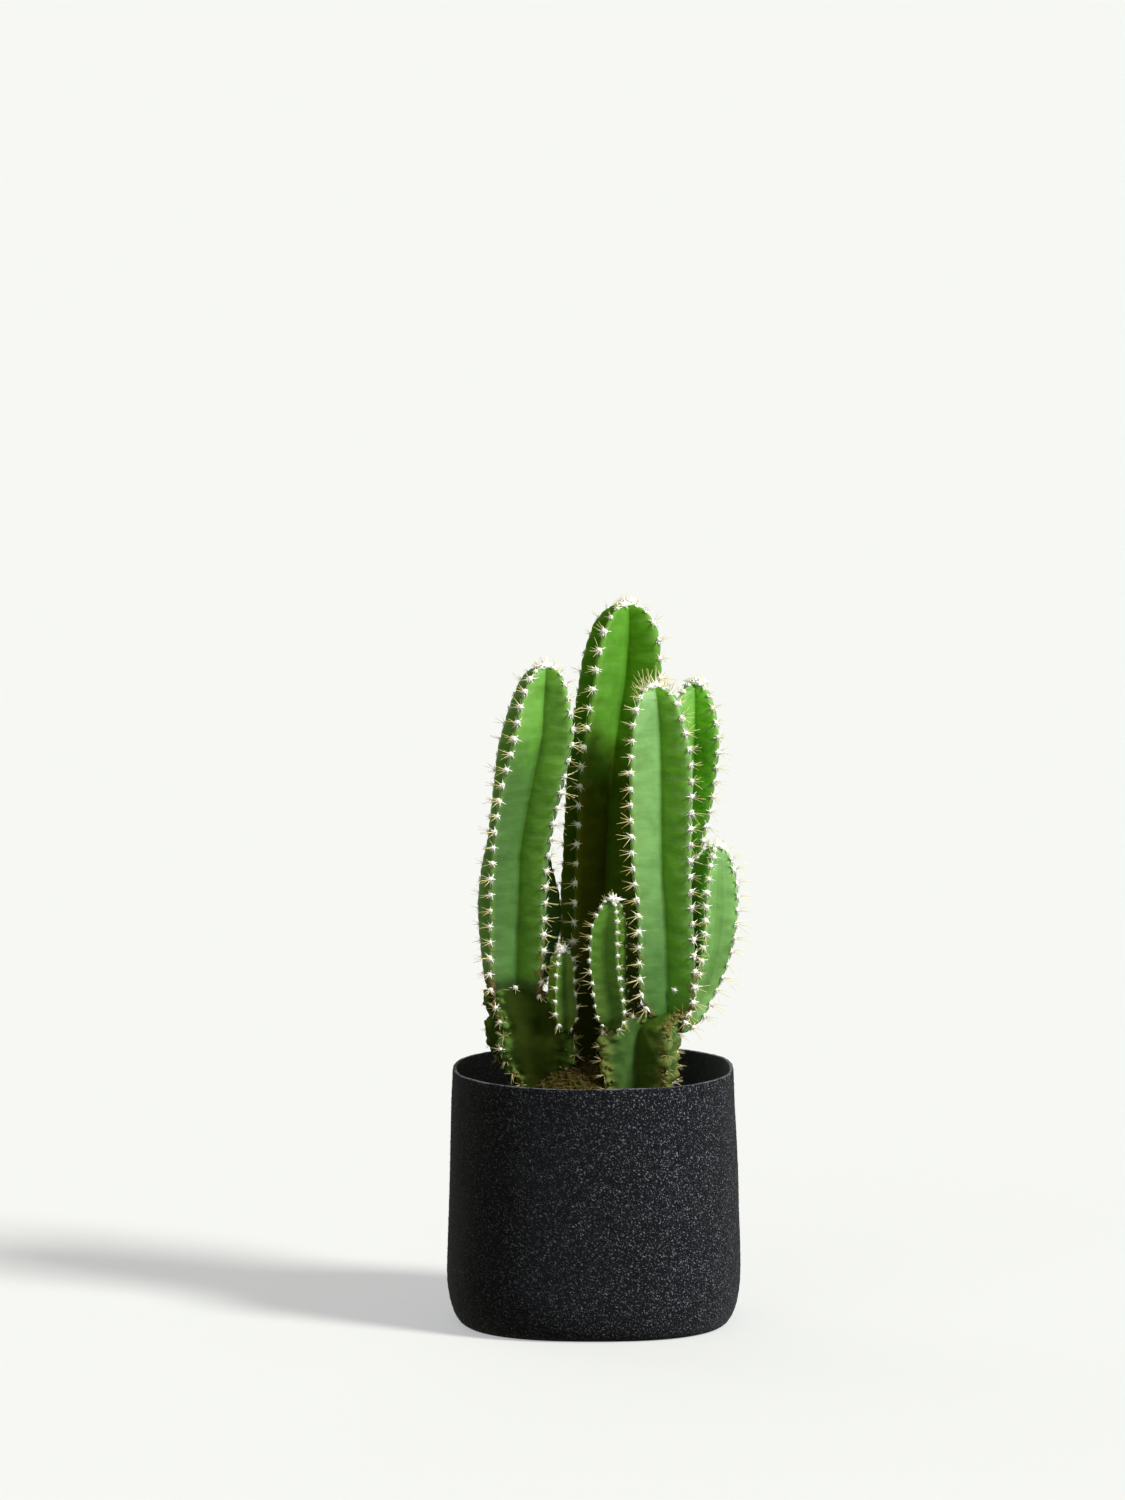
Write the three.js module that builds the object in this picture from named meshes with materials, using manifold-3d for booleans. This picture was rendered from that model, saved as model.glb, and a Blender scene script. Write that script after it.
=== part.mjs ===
// Potted Florida cereus: a clump of four-ribbed cactus stems rooted in potting soil,
// in a plastic growing pot that stands inside a soft, moulded felt pot.
// Millimetres, +Z up, the viewer looks along +Y. The origin is the middle of the felt pot's foot.

import * as THREE from 'three';
import { mergeVertices } from 'three/addons/utils/BufferGeometryUtils.js';
import Module from 'manifold-3d';

const wasm = await Module();
wasm.setup();

// Gap left between pieces that touch
const FIT_GAP = 0.3;

// Felt pot
const FELT_HEIGHT = 113.3;
const FELT_THICKNESS = 1.8;
const FELT_SIDES = 40;
const FELT_FOOT_SQUARENESS = 2.45;
const FELT_RIM_SQUARENESS = 2.3;
// Half width of the felt pot's outside at each height: flat foot, soft corner, slight taper to the rim
const FELT_PROFILE = [
  { z: 0, half: 58 },
  { z: 1.2, half: 60 },
  { z: 4, half: 61.9 },
  { z: 9, half: 63.6 },
  { z: 16, half: 64.7 },
  { z: 24, half: 65 },
  { z: 54, half: 64.2 },
  { z: 90, half: 63.2 },
  { z: FELT_HEIGHT, half: 62.4 },
];

// Growing pot inside the felt
const NURSERY_RIM_RADIUS = 60;
const NURSERY_TOP_RADIUS = 57;
const NURSERY_FOOT_RADIUS = 47;
const NURSERY_RIM_Z = 88;
const NURSERY_RIM_BAND = 5;
const NURSERY_WALL = 1;
const NURSERY_FLOOR = 1.4;
const NURSERY_SIDES = 32;
const NURSERY_FOOT_Z = FELT_THICKNESS + FIT_GAP;
const DRAIN_HOLE_RADIUS = 5;
const DRAIN_HOLE_COUNT = 6;
const DRAIN_HOLE_CIRCLE = 32;
const DRAIN_HOLE_SIDES = 8;

// Soil: low at the wall, heaped around the foot of the clump
const SOIL_EDGE_Z = 85;
const SOIL_HEAP_RISE = 34;
const SOIL_HEAP_CENTRE = { x: -7, y: -7 };
const SOIL_HEAP_REACH = { x: 31, y: 27.5 };
const SOIL_HEAP_POWER = 1.25;
const SOIL_RINGS = 7;
const SOIL_SIDES = 28;

// Stem cross-section, as shares of the rib radius: one rib from its valley to its far shoulder
const RIB_COUNT = 4;
const VALLEY = 0.38;
const RIB_SHAPE = [
  { out: VALLEY * Math.SQRT1_2, side: -VALLEY * Math.SQRT1_2 },
  { out: 0.78, side: -0.145 },
  { out: 0.96, side: -0.08 },
  { out: 1, side: 0 },
  { out: 0.96, side: 0.08 },
  { out: 0.78, side: 0.145 },
];

// Stems. turn is how far the front face is turned from the viewer towards +X, in degrees.
// path gives the middle of the stem and its rib radius, from the foot to the crown. A row may add
// a turn of its own, where the stem twists, and how much longer its two rear ribs are.
const SEAT_LEFT_Z = 147.6;
const SEAT_RIGHT_Z = 141;
const ROOT_Z = 82;

const STEMS = [
  {
    name: 'left_base_stem',
    colour: 0x46682a,
    turn: 10,
    path: [
      [-26, -5, ROOT_Z, 11],
      [-26.4, -5, 102, 11.4],
      [-27, -5, 110.5, 12.4],
      [-27.5, -5, 114.5, 16.8],
      [-27.8, -5, 120, 22.8],
      [-27.8, -5, 127, 24],
      [-28.8, -5, 134.5, 20.6],
      [-30.4, -5, 140.5, 21.6],
      [-32.8, -4.5, 144.6, 18.6],
      [-34.4, -4, SEAT_LEFT_Z, 15.6],
    ],
  },
  {
    name: 'right_base_stem',
    colour: 0x4a6c34,
    turn: -10,
    path: [
      [20, -13, ROOT_Z, 13],
      [20.2, -14, 104, 18.5],
      [20.3, -14, 118, 20.8],
      [20.3, -14, 129, 21.5],
      [21.2, -14, 134.5, 20.8],
      [26, -14, 138.2, 18],
      [30.6, -14, 140.2, 15],
      [32.8, -14, SEAT_RIGHT_Z, 13],
    ],
  },
  {
    name: 'left_stem',
    colour: 0x5e9a3b,
    turn: 10,
    path: [
      [-34.6, -4, SEAT_LEFT_Z + FIT_GAP, 15.2, 2, 1.1],
      [-34.6, -4, 152, 16.6, 0, 1.2],
      [-34.1, -4, 160, 17, -1, 1.32],
      [-33.7, -4, 171, 17.1, -2, 1.46],
      [-33.5, -4, 181, 17.3, -2, 1.5],
      [-33.5, -4, 192, 17.4, 0, 1.4],
      [-33.7, -4, 202, 17.5, 2, 1.24],
      [-33.5, -4, 209, 17.8, 4, 1.1],
      [-33.1, -4, 215.5, 18, 5, 1],
      [-29.7, -4, 236.2, 19.1, 5.5, 1],
      [-26.3, -4, 256, 19.2, 11, 1],
      [-24.6, -4, 265, 18.8, 11, 1],
      [-23.5, -4, 278, 15.3],
      [-22.6, -4, 286.5, 12],
      [-22, -4, 291, 8],
      [-21.8, -4, 292.8, 3],
    ],
  },
  {
    name: 'back_tall_stem',
    colour: 0x4f9430,
    turn: 11,
    path: [
      [2.6, 22, ROOT_Z, 14],
      [2.2, 22, 115, 18.3],
      [2.9, 22, 145, 22.2],
      [3.2, 22, 166, 22.3],
      [3.5, 22, 187, 21.8],
      [4.3, 22, 210, 21.5],
      [6.3, 22, 245, 21.8],
      [9.2, 22, 268, 21.8],
      [11.6, 22, 283, 21.6],
      [12.9, 22, 296, 20.3],
      [13.8, 22, 305.5, 17.8],
      [14.3, 22, 312, 13.6],
      [14.6, 22, 316, 8.6],
      [14.7, 22, 317.4, 3],
    ],
  },
  {
    name: 'front_right_stem',
    colour: 0x6fa64e,
    turn: 0,
    path: [
      [33, -14, SEAT_RIGHT_Z + FIT_GAP, 12.6],
      [32.8, -14, 145, 15.4],
      [32.5, -14, 152, 17.1],
      [32.2, -14, 161, 17.6],
      [31.7, -14, 176, 17.3],
      [30.9, -14, 192, 17.2],
      [30, -14, 203, 18],
      [29.6, -14, 222, 18.9],
      [29.5, -14, 246, 19.3],
      [29, -14, 261, 18],
      [28.4, -14, 272, 15.2],
      [27.7, -14, 280, 12],
      [27.2, -14, 284, 7.6],
      [27, -14, 285.6, 3],
    ],
  },
  {
    name: 'back_right_stem',
    colour: 0x4c8a33,
    turn: 0,
    path: [
      [28.5, 13, ROOT_Z, 7],
      [29.5, 14, 118, 9],
      [31, 16, 140, 10.5],
      [34, 19, 176, 12.4],
      [38.5, 20, 210, 13.4],
      [42.2, 20, 228, 13.8],
      [44, 20, 247, 15],
      [44.4, 20, 260, 15.2],
      [44.6, 20, 269, 13],
      [44.7, 20, 277, 9.2],
      [44.8, 20, 281, 5.6],
      [44.8, 20, 282.4, 2.4],
    ],
  },
  {
    name: 'low_right_stem',
    colour: 0x6aa34a,
    turn: 35,
    path: [
      [39.8, -2, 131.5, 3.6],
      [41.8, -0.8, 135, 6.2],
      [43.8, 2.4, 140.5, 7.4],
      [45.8, 4.8, 147, 8.8],
      [48, 5.2, 155, 10.2],
      [50, 4.5, 166, 11.6],
      [51.4, 4, 180, 12.4],
      [51.8, 4, 191, 12.2],
      [52.4, 4, 198, 10.8],
      [53.2, 4, 205.5, 8],
      [53.9, 4, 210, 4.8],
      [54.1, 4, 211.6, 2.2],
    ],
  },
  {
    name: 'small_middle_stem',
    colour: 0x63a046,
    turn: -20,
    path: [
      [8, -25, 135.5, 4.4],
      [8, -25, 138, 7.8],
      [7.9, -25, 141, 8.9],
      [7.4, -25, 147, 9.1],
      [6.7, -25, 155, 9.2],
      [6.1, -25, 166, 9.2],
      [6.6, -25, 179, 8.6],
      [7.2, -25, 186, 6.6],
      [7.7, -25, 190.4, 4],
      [7.9, -25, 192, 1.8],
    ],
  },
  {
    name: 'small_left_stem',
    colour: 0x5c9a42,
    turn: -30,
    path: [
      [-13.2, -17, 134, 4],
      [-13.7, -17, 138, 7],
      [-14.2, -17, 143, 7.7],
      [-14.3, -17, 150, 6.7],
      [-14.2, -17, 158, 6.3],
      [-14, -17, 163.5, 5.6],
      [-13.9, -17, 166.8, 3.8],
      [-13.8, -17, 168.4, 1.6],
    ],
  },
];

// Stems rooted in the soil, and branches with the stems that each one rests against
const ROOTED = ['left_base_stem', 'right_base_stem', 'back_tall_stem', 'back_right_stem'];
const BRANCHES = {
  low_right_stem: ['right_base_stem', 'front_right_stem'],
  small_middle_stem: ['right_base_stem'],
  small_left_stem: ['left_base_stem'],
};

// One closed body from rings of equal point counts, with a fan over its first and last ring
function loft(rings) {
  const count = rings[0].length;
  const positions = [];
  const indices = [];
  const middle = (ring) => {
    const sum = new THREE.Vector3();
    ring.forEach((p) => sum.add(p));
    return sum.divideScalar(count);
  };
  rings.forEach((ring) => ring.forEach((p) => positions.push(p.x, p.y, p.z)));
  for (let r = 0; r + 1 < rings.length; r++) {
    for (let i = 0; i < count; i++) {
      const j = (i + 1) % count;
      const a = r * count + i;
      const b = r * count + j;
      indices.push(a, b, b + count, a, b + count, a + count);
    }
  }
  const first = positions.length / 3;
  const last = first + 1;
  const start = middle(rings[0]);
  const end = middle(rings[rings.length - 1]);
  positions.push(start.x, start.y, start.z, end.x, end.y, end.z);
  const offset = (rings.length - 1) * count;
  for (let i = 0; i < count; i++) {
    const j = (i + 1) % count;
    indices.push(first, j, i, last, offset + i, offset + j);
  }
  const geometry = new THREE.BufferGeometry();
  geometry.setAttribute('position', new THREE.Float32BufferAttribute(positions, 3));
  geometry.setIndex(indices);
  return geometry;
}

// Geometry to solid and back, for cuts
function toSolid(geometry) {
  const bare = geometry.clone();
  bare.deleteAttribute('normal');
  bare.deleteAttribute('uv');
  const merged = mergeVertices(bare);
  return new wasm.Manifold(new wasm.Mesh({
    numProp: 3,
    vertProperties: new Float32Array(merged.attributes.position.array),
    triVerts: new Uint32Array(merged.index.array),
  }));
}

function toGeometry(solid) {
  const mesh = solid.getMesh();
  const geometry = new THREE.BufferGeometry();
  geometry.setAttribute('position', new THREE.Float32BufferAttribute(mesh.vertProperties, 3));
  geometry.setIndex(Array.from(mesh.triVerts));
  return geometry;
}

// Rounded-square outline at one height
function squircleRing(half, z, squareness) {
  const ring = [];
  for (let i = 0; i < FELT_SIDES; i++) {
    const angle = (2 * Math.PI * i) / FELT_SIDES;
    const c = Math.cos(angle);
    const s = Math.sin(angle);
    const reach = half / Math.pow(Math.abs(c) ** squareness + Math.abs(s) ** squareness, 1 / squareness);
    ring.push(new THREE.Vector3(reach * c, reach * s, z));
  }
  return ring;
}

function feltSquareness(z) {
  return THREE.MathUtils.lerp(FELT_FOOT_SQUARENESS, FELT_RIM_SQUARENESS, z / FELT_HEIGHT);
}

function feltPot() {
  const outside = FELT_PROFILE.map(({ z, half }) => squircleRing(half, z, feltSquareness(z)));
  const walls = FELT_PROFILE.filter(({ z }) => z > 2 * FELT_THICKNESS);
  const inside = walls.reverse().map(({ z, half }) => (
    squircleRing(half - FELT_THICKNESS, z, feltSquareness(z))
  ));
  const floorHalf = FELT_PROFILE[0].half;
  const floor = squircleRing(floorHalf, FELT_THICKNESS, FELT_FOOT_SQUARENESS);
  return loft([...outside, ...inside, floor]);
}

function nurseryPot() {
  const bandZ = NURSERY_RIM_Z - NURSERY_RIM_BAND;
  const profile = [
    [0, NURSERY_FOOT_Z],
    [NURSERY_FOOT_RADIUS, NURSERY_FOOT_Z],
    [NURSERY_TOP_RADIUS, bandZ],
    [NURSERY_RIM_RADIUS, bandZ],
    [NURSERY_RIM_RADIUS, NURSERY_RIM_Z],
    [NURSERY_RIM_RADIUS - NURSERY_WALL, NURSERY_RIM_Z],
    [NURSERY_TOP_RADIUS - NURSERY_WALL, bandZ + NURSERY_WALL],
    [NURSERY_FOOT_RADIUS - NURSERY_WALL, NURSERY_FOOT_Z + NURSERY_FLOOR],
    [0, NURSERY_FOOT_Z + NURSERY_FLOOR],
  ];
  const points = profile.map(([r, z]) => new THREE.Vector2(r, z));
  const body = new THREE.LatheGeometry(points, NURSERY_SIDES).rotateX(Math.PI / 2);
  let pot = toSolid(body);
  for (let i = 0; i < DRAIN_HOLE_COUNT; i++) {
    const angle = (2 * Math.PI * i) / DRAIN_HOLE_COUNT;
    const length = 3 * NURSERY_FLOOR;
    const hole = new THREE.CylinderGeometry(
      DRAIN_HOLE_RADIUS, DRAIN_HOLE_RADIUS, length, DRAIN_HOLE_SIDES,
    );
    hole.rotateX(Math.PI / 2);
    hole.translate(
      DRAIN_HOLE_CIRCLE * Math.cos(angle),
      DRAIN_HOLE_CIRCLE * Math.sin(angle),
      NURSERY_FOOT_Z + NURSERY_FLOOR / 2,
    );
    pot = pot.subtract(toSolid(hole));
  }
  return toGeometry(pot);
}

// Height of the soil at a point: one soft heap over a flat bed
function soilHeight(x, y) {
  const dx = (x - SOIL_HEAP_CENTRE.x) / SOIL_HEAP_REACH.x;
  const dy = (y - SOIL_HEAP_CENTRE.y) / SOIL_HEAP_REACH.y;
  return SOIL_EDGE_Z + SOIL_HEAP_RISE * Math.exp(-((dx * dx + dy * dy) ** SOIL_HEAP_POWER));
}

// Radius of the soil's side at a height, a fit gap inside the growing pot's wall
function soilSideRadius(z) {
  const bandZ = NURSERY_RIM_Z - NURSERY_RIM_BAND;
  const share = (z - NURSERY_FOOT_Z) / (bandZ - NURSERY_FOOT_Z);
  const outside = THREE.MathUtils.lerp(NURSERY_FOOT_RADIUS, NURSERY_TOP_RADIUS, Math.min(share, 1));
  return outside - NURSERY_WALL - 2 * FIT_GAP;
}

function soil(sockets) {
  const circle = (radius, height) => {
    const ring = [];
    for (let i = 0; i < SOIL_SIDES; i++) {
      const angle = (2 * Math.PI * i) / SOIL_SIDES;
      const x = radius * Math.cos(angle);
      const y = radius * Math.sin(angle);
      ring.push(new THREE.Vector3(x, y, height(x, y)));
    }
    return ring;
  };
  const bottomZ = NURSERY_FOOT_Z + NURSERY_FLOOR + FIT_GAP;
  const edgeRadius = soilSideRadius(SOIL_EDGE_Z);
  const rings = [circle(soilSideRadius(bottomZ), () => bottomZ)];
  for (let r = 0; r < SOIL_RINGS; r++) {
    rings.push(circle(edgeRadius * (1 - r / SOIL_RINGS), soilHeight));
  }
  const bed = toSolid(loft(rings));
  return toGeometry(sockets.reduce((solid, socket) => solid.subtract(socket), bed));
}

// Star section of a stem at one height. grow widens it so that the valleys clear by that much.
function starRing([x, y, z, radius], turn, rear, grow) {
  const ring = [];
  const reach = radius + grow / VALLEY;
  for (let k = 0; k < RIB_COUNT; k++) {
    const ribAngle = THREE.MathUtils.degToRad(turn - 45 + k * 90);
    const c = Math.sin(ribAngle);
    const s = -Math.cos(ribAngle);
    RIB_SHAPE.forEach(({ out, side }) => {
      const length = k >= RIB_COUNT / 2 && out > VALLEY ? out * rear : out;
      ring.push(new THREE.Vector3(
        x + reach * (length * c - side * s),
        y + reach * (length * s + side * c),
        z,
      ));
    });
  }
  return ring;
}

// Stem from its path, one ring at each point. grow also lowers its foot and raises its crown.
function stemGeometry({ path, turn }, grow = 0) {
  const last = path.length - 1;
  return loft(path.map(([x, y, z, radius, ownTurn = turn, rear = 1], i) => {
    const lift = (i === last ? grow : 0) - (i === 0 ? grow : 0);
    return starRing([x, y, z + lift, radius], ownTurn, rear, grow);
  }));
}

function stemByName(name) {
  return STEMS.find((stem) => stem.name === name);
}

function branchGeometry(stem) {
  const neighbours = BRANCHES[stem.name].map((name) => toSolid(stemGeometry(stemByName(name), FIT_GAP)));
  const trimmed = neighbours.reduce((solid, other) => solid.subtract(other), toSolid(stemGeometry(stem)));
  return toGeometry(trimmed);
}

function piece(name, geometry, colour, roughness) {
  const material = new THREE.MeshStandardMaterial({ color: colour, roughness, metalness: 0 });
  const mesh = new THREE.Mesh(geometry, material);
  mesh.name = name;
  return mesh;
}

const plant = new THREE.Group();
STEMS.forEach((stem) => {
  const geometry = stem.name in BRANCHES ? branchGeometry(stem) : stemGeometry(stem);
  plant.add(piece(stem.name, geometry, stem.colour, 0.5));
});

const sockets = ROOTED.map((name) => toSolid(stemGeometry(stemByName(name), FIT_GAP)));

const pottedCereus = new THREE.Group();
pottedCereus.add(piece('felt_pot', feltPot(), 0x232428, 0.95));
pottedCereus.add(piece('nursery_pot', nurseryPot(), 0x1b1b1c, 0.45));
pottedCereus.add(piece('soil', soil(sockets), 0x4b3519, 0.95));
pottedCereus.add(plant);

export default pottedCereus;
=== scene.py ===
"""Potted florida cereus: the clump of stems, its wool and spines, the soil and the two pots."""

from __future__ import annotations

import logging
import math
import random
from collections.abc import Callable, Iterable, Sequence
from dataclasses import dataclass, field
from enum import Enum

import bmesh
import bpy
import numpy as np
from mathutils import Matrix, Vector
from mathutils.bvhtree import BVHTree


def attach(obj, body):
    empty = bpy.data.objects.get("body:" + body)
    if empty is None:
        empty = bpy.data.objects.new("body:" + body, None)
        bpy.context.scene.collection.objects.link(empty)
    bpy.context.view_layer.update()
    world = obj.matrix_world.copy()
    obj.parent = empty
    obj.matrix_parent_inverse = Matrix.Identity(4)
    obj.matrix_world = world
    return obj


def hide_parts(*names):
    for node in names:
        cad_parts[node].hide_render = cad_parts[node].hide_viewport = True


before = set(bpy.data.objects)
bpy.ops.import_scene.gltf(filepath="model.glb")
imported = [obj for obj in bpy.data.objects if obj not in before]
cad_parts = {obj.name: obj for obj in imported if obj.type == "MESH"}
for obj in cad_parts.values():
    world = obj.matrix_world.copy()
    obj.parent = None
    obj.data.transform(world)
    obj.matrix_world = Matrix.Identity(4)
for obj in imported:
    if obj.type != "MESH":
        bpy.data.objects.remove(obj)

logger = logging.getLogger("potted_cereus")

MM = 0.001
FELT_HEIGHT = 113.3
Colour = tuple[float, float, float, float]
PathRow = tuple[float, ...]


@dataclass(frozen=True)
class Wire:
    """The output of a shader node, ready to be used in sums."""

    recipe: Recipe
    socket: bpy.types.NodeSocket

    def joined(self, operation: str, first: Wire | float, second: Wire | float) -> Wire:
        """One Math node of two values."""
        return self.recipe.node("ShaderNodeMath", {"operation": operation}, {0: first, 1: second})

    def __add__(self, other: Wire | float) -> Wire:
        """This value plus another."""
        return self.joined("ADD", self, other)

    def __radd__(self, other: float) -> Wire:
        """A number plus this value."""
        return self.joined("ADD", other, self)

    def __sub__(self, other: Wire | float) -> Wire:
        """This value less another."""
        return self.joined("SUBTRACT", self, other)

    def __rsub__(self, other: float) -> Wire:
        """A number less this value."""
        return self.joined("SUBTRACT", other, self)

    def __mul__(self, other: Wire | float) -> Wire:
        """This value times another."""
        return self.joined("MULTIPLY", self, other)

    def __rmul__(self, other: float) -> Wire:
        """A number times this value."""
        return self.joined("MULTIPLY", other, self)

    def larger(self, other: Wire) -> Wire:
        """The larger of this value and another."""
        return self.joined("MAXIMUM", self, other)


class Recipe:
    """A material in the making: its nodes are added here, one at a time.

    The MIX values are the numbers of the mix node's colour sockets, which share their names with others.
    """

    MIX_SHARE = 0
    MIX_FIRST = 6
    MIX_SECOND = 7
    MIX_RESULT = 2

    def __init__(self, name: str) -> None:
        """Starts an empty material.

        Args:
            name: the finish's name.
        """
        self.material = bpy.data.materials.new(name)
        self.material.use_nodes = True
        self.tree = self.material.node_tree
        self.tree.nodes.clear()

    def node(
        self,
        kind: str,
        settings: dict[str, object] | None = None,
        sockets: dict[str | int, object] | None = None,
        output: str | int = 0,
    ) -> Wire:
        """Adds one node.

        Args:
            kind: the node's type.
            settings: what is set on the node itself.
            sockets: values or wires for its input sockets, by name or number.
            output: the output socket that is handed back.

        Returns:
            The node's output.
        """
        made = self.tree.nodes.new(kind)
        for name, value in (settings or {}).items():
            setattr(made, name, value)
        for key, value in (sockets or {}).items():
            if isinstance(value, Wire):
                self.tree.links.new(value.socket, made.inputs[key])
            else:
                made.inputs[key].default_value = value
        return Wire(self, made.outputs[output])

    def place(self) -> Wire:
        """Where a point lies on the object, in metres."""
        return self.node("ShaderNodeTexCoord", output="Object")

    def height(self) -> Wire:
        """How high a point lies, in metres."""
        return self.node("ShaderNodeSeparateXYZ", sockets={0: self.place()}, output="Z")

    def stretched(self, at: Wire, scale: Sequence[float]) -> Wire:
        """The same place, stretched along each axis."""
        return self.node("ShaderNodeVectorMath", {"operation": "MULTIPLY"}, {0: at, 1: tuple(scale)})

    def carried(self, name: str) -> Wire:
        """A value that the mesh carries at each point."""
        return self.node("ShaderNodeAttribute", {"attribute_name": name}, output="Fac")

    def noise(self, at: Wire, size: float, detail: float = 3.0, roughness: float = 0.5) -> Wire:
        """Cloudy noise, around 0.5.

        Args:
            at: where it is read.
            size: size of its largest patches, in metres.
            detail: how many finer layers it has.
            roughness: how strong the finer layers are.

        Returns:
            The noise.
        """
        sockets = {"Vector": at, "Scale": 1.0 / size, "Detail": detail, "Roughness": roughness}
        return self.node("ShaderNodeTexNoise", sockets=sockets)

    def fade(self, value: Wire, low: float, high: float) -> Wire:
        """Goes softly from 0 to 1.

        Args:
            value: the value that is read.
            low: where it starts to leave 0.
            high: where it reaches 1.

        Returns:
            The faded value.
        """
        settings = {"interpolation_type": "SMOOTHSTEP", "clamp": True}
        sockets = {"Value": value, "From Min": low, "From Max": high}
        return self.node("ShaderNodeMapRange", settings, sockets)

    def mix(self, share: Wire | float, first: Wire | Colour, second: Wire | Colour) -> Wire:
        """A mix of two colours: all of the first at a share of 0."""
        sockets = {self.MIX_SHARE: share, self.MIX_FIRST: first, self.MIX_SECOND: second}
        return self.node("ShaderNodeMix", {"data_type": "RGBA"}, sockets, self.MIX_RESULT)

    def tint(self, share: Wire | float, colour: Wire, glaze: Colour) -> Wire:
        """A colour seen through a glaze.

        Args:
            share: how much of the glaze there is.
            colour: the colour under it.
            glaze: the glaze.

        Returns:
            The glazed colour.
        """
        settings = {"data_type": "RGBA", "blend_type": "MULTIPLY"}
        sockets = {self.MIX_SHARE: share, self.MIX_FIRST: colour, self.MIX_SECOND: glaze}
        return self.node("ShaderNodeMix", settings, sockets, self.MIX_RESULT)

    def bump(self, height: Wire, depth: float, under: Wire | None = None) -> Wire:
        """Relief from a height of 0 to 1.

        Args:
            height: the relief.
            depth: how deep it is, in metres.
            under: the relief that it lies on.

        Returns:
            The normal.
        """
        sockets: dict[str | int, object] = {"Height": height, "Distance": depth, "Strength": 1.0}
        if under is not None:
            sockets["Normal"] = under
        return self.node("ShaderNodeBump", sockets=sockets)

    def finish(self, **sockets: object) -> bpy.types.Material:
        """Puts the surface on and hands the material over.

        Args:
            sockets: values or wires of the surface shader, with _ for each space in a name.

        Returns:
            The material.
        """
        named = {name.replace("_", " "): value for name, value in sockets.items()}
        surface = self.node("ShaderNodeBsdfPrincipled", sockets=named)
        end = self.tree.nodes.new("ShaderNodeOutputMaterial")
        self.tree.links.new(surface.socket, end.inputs["Surface"])
        return self.material


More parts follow.
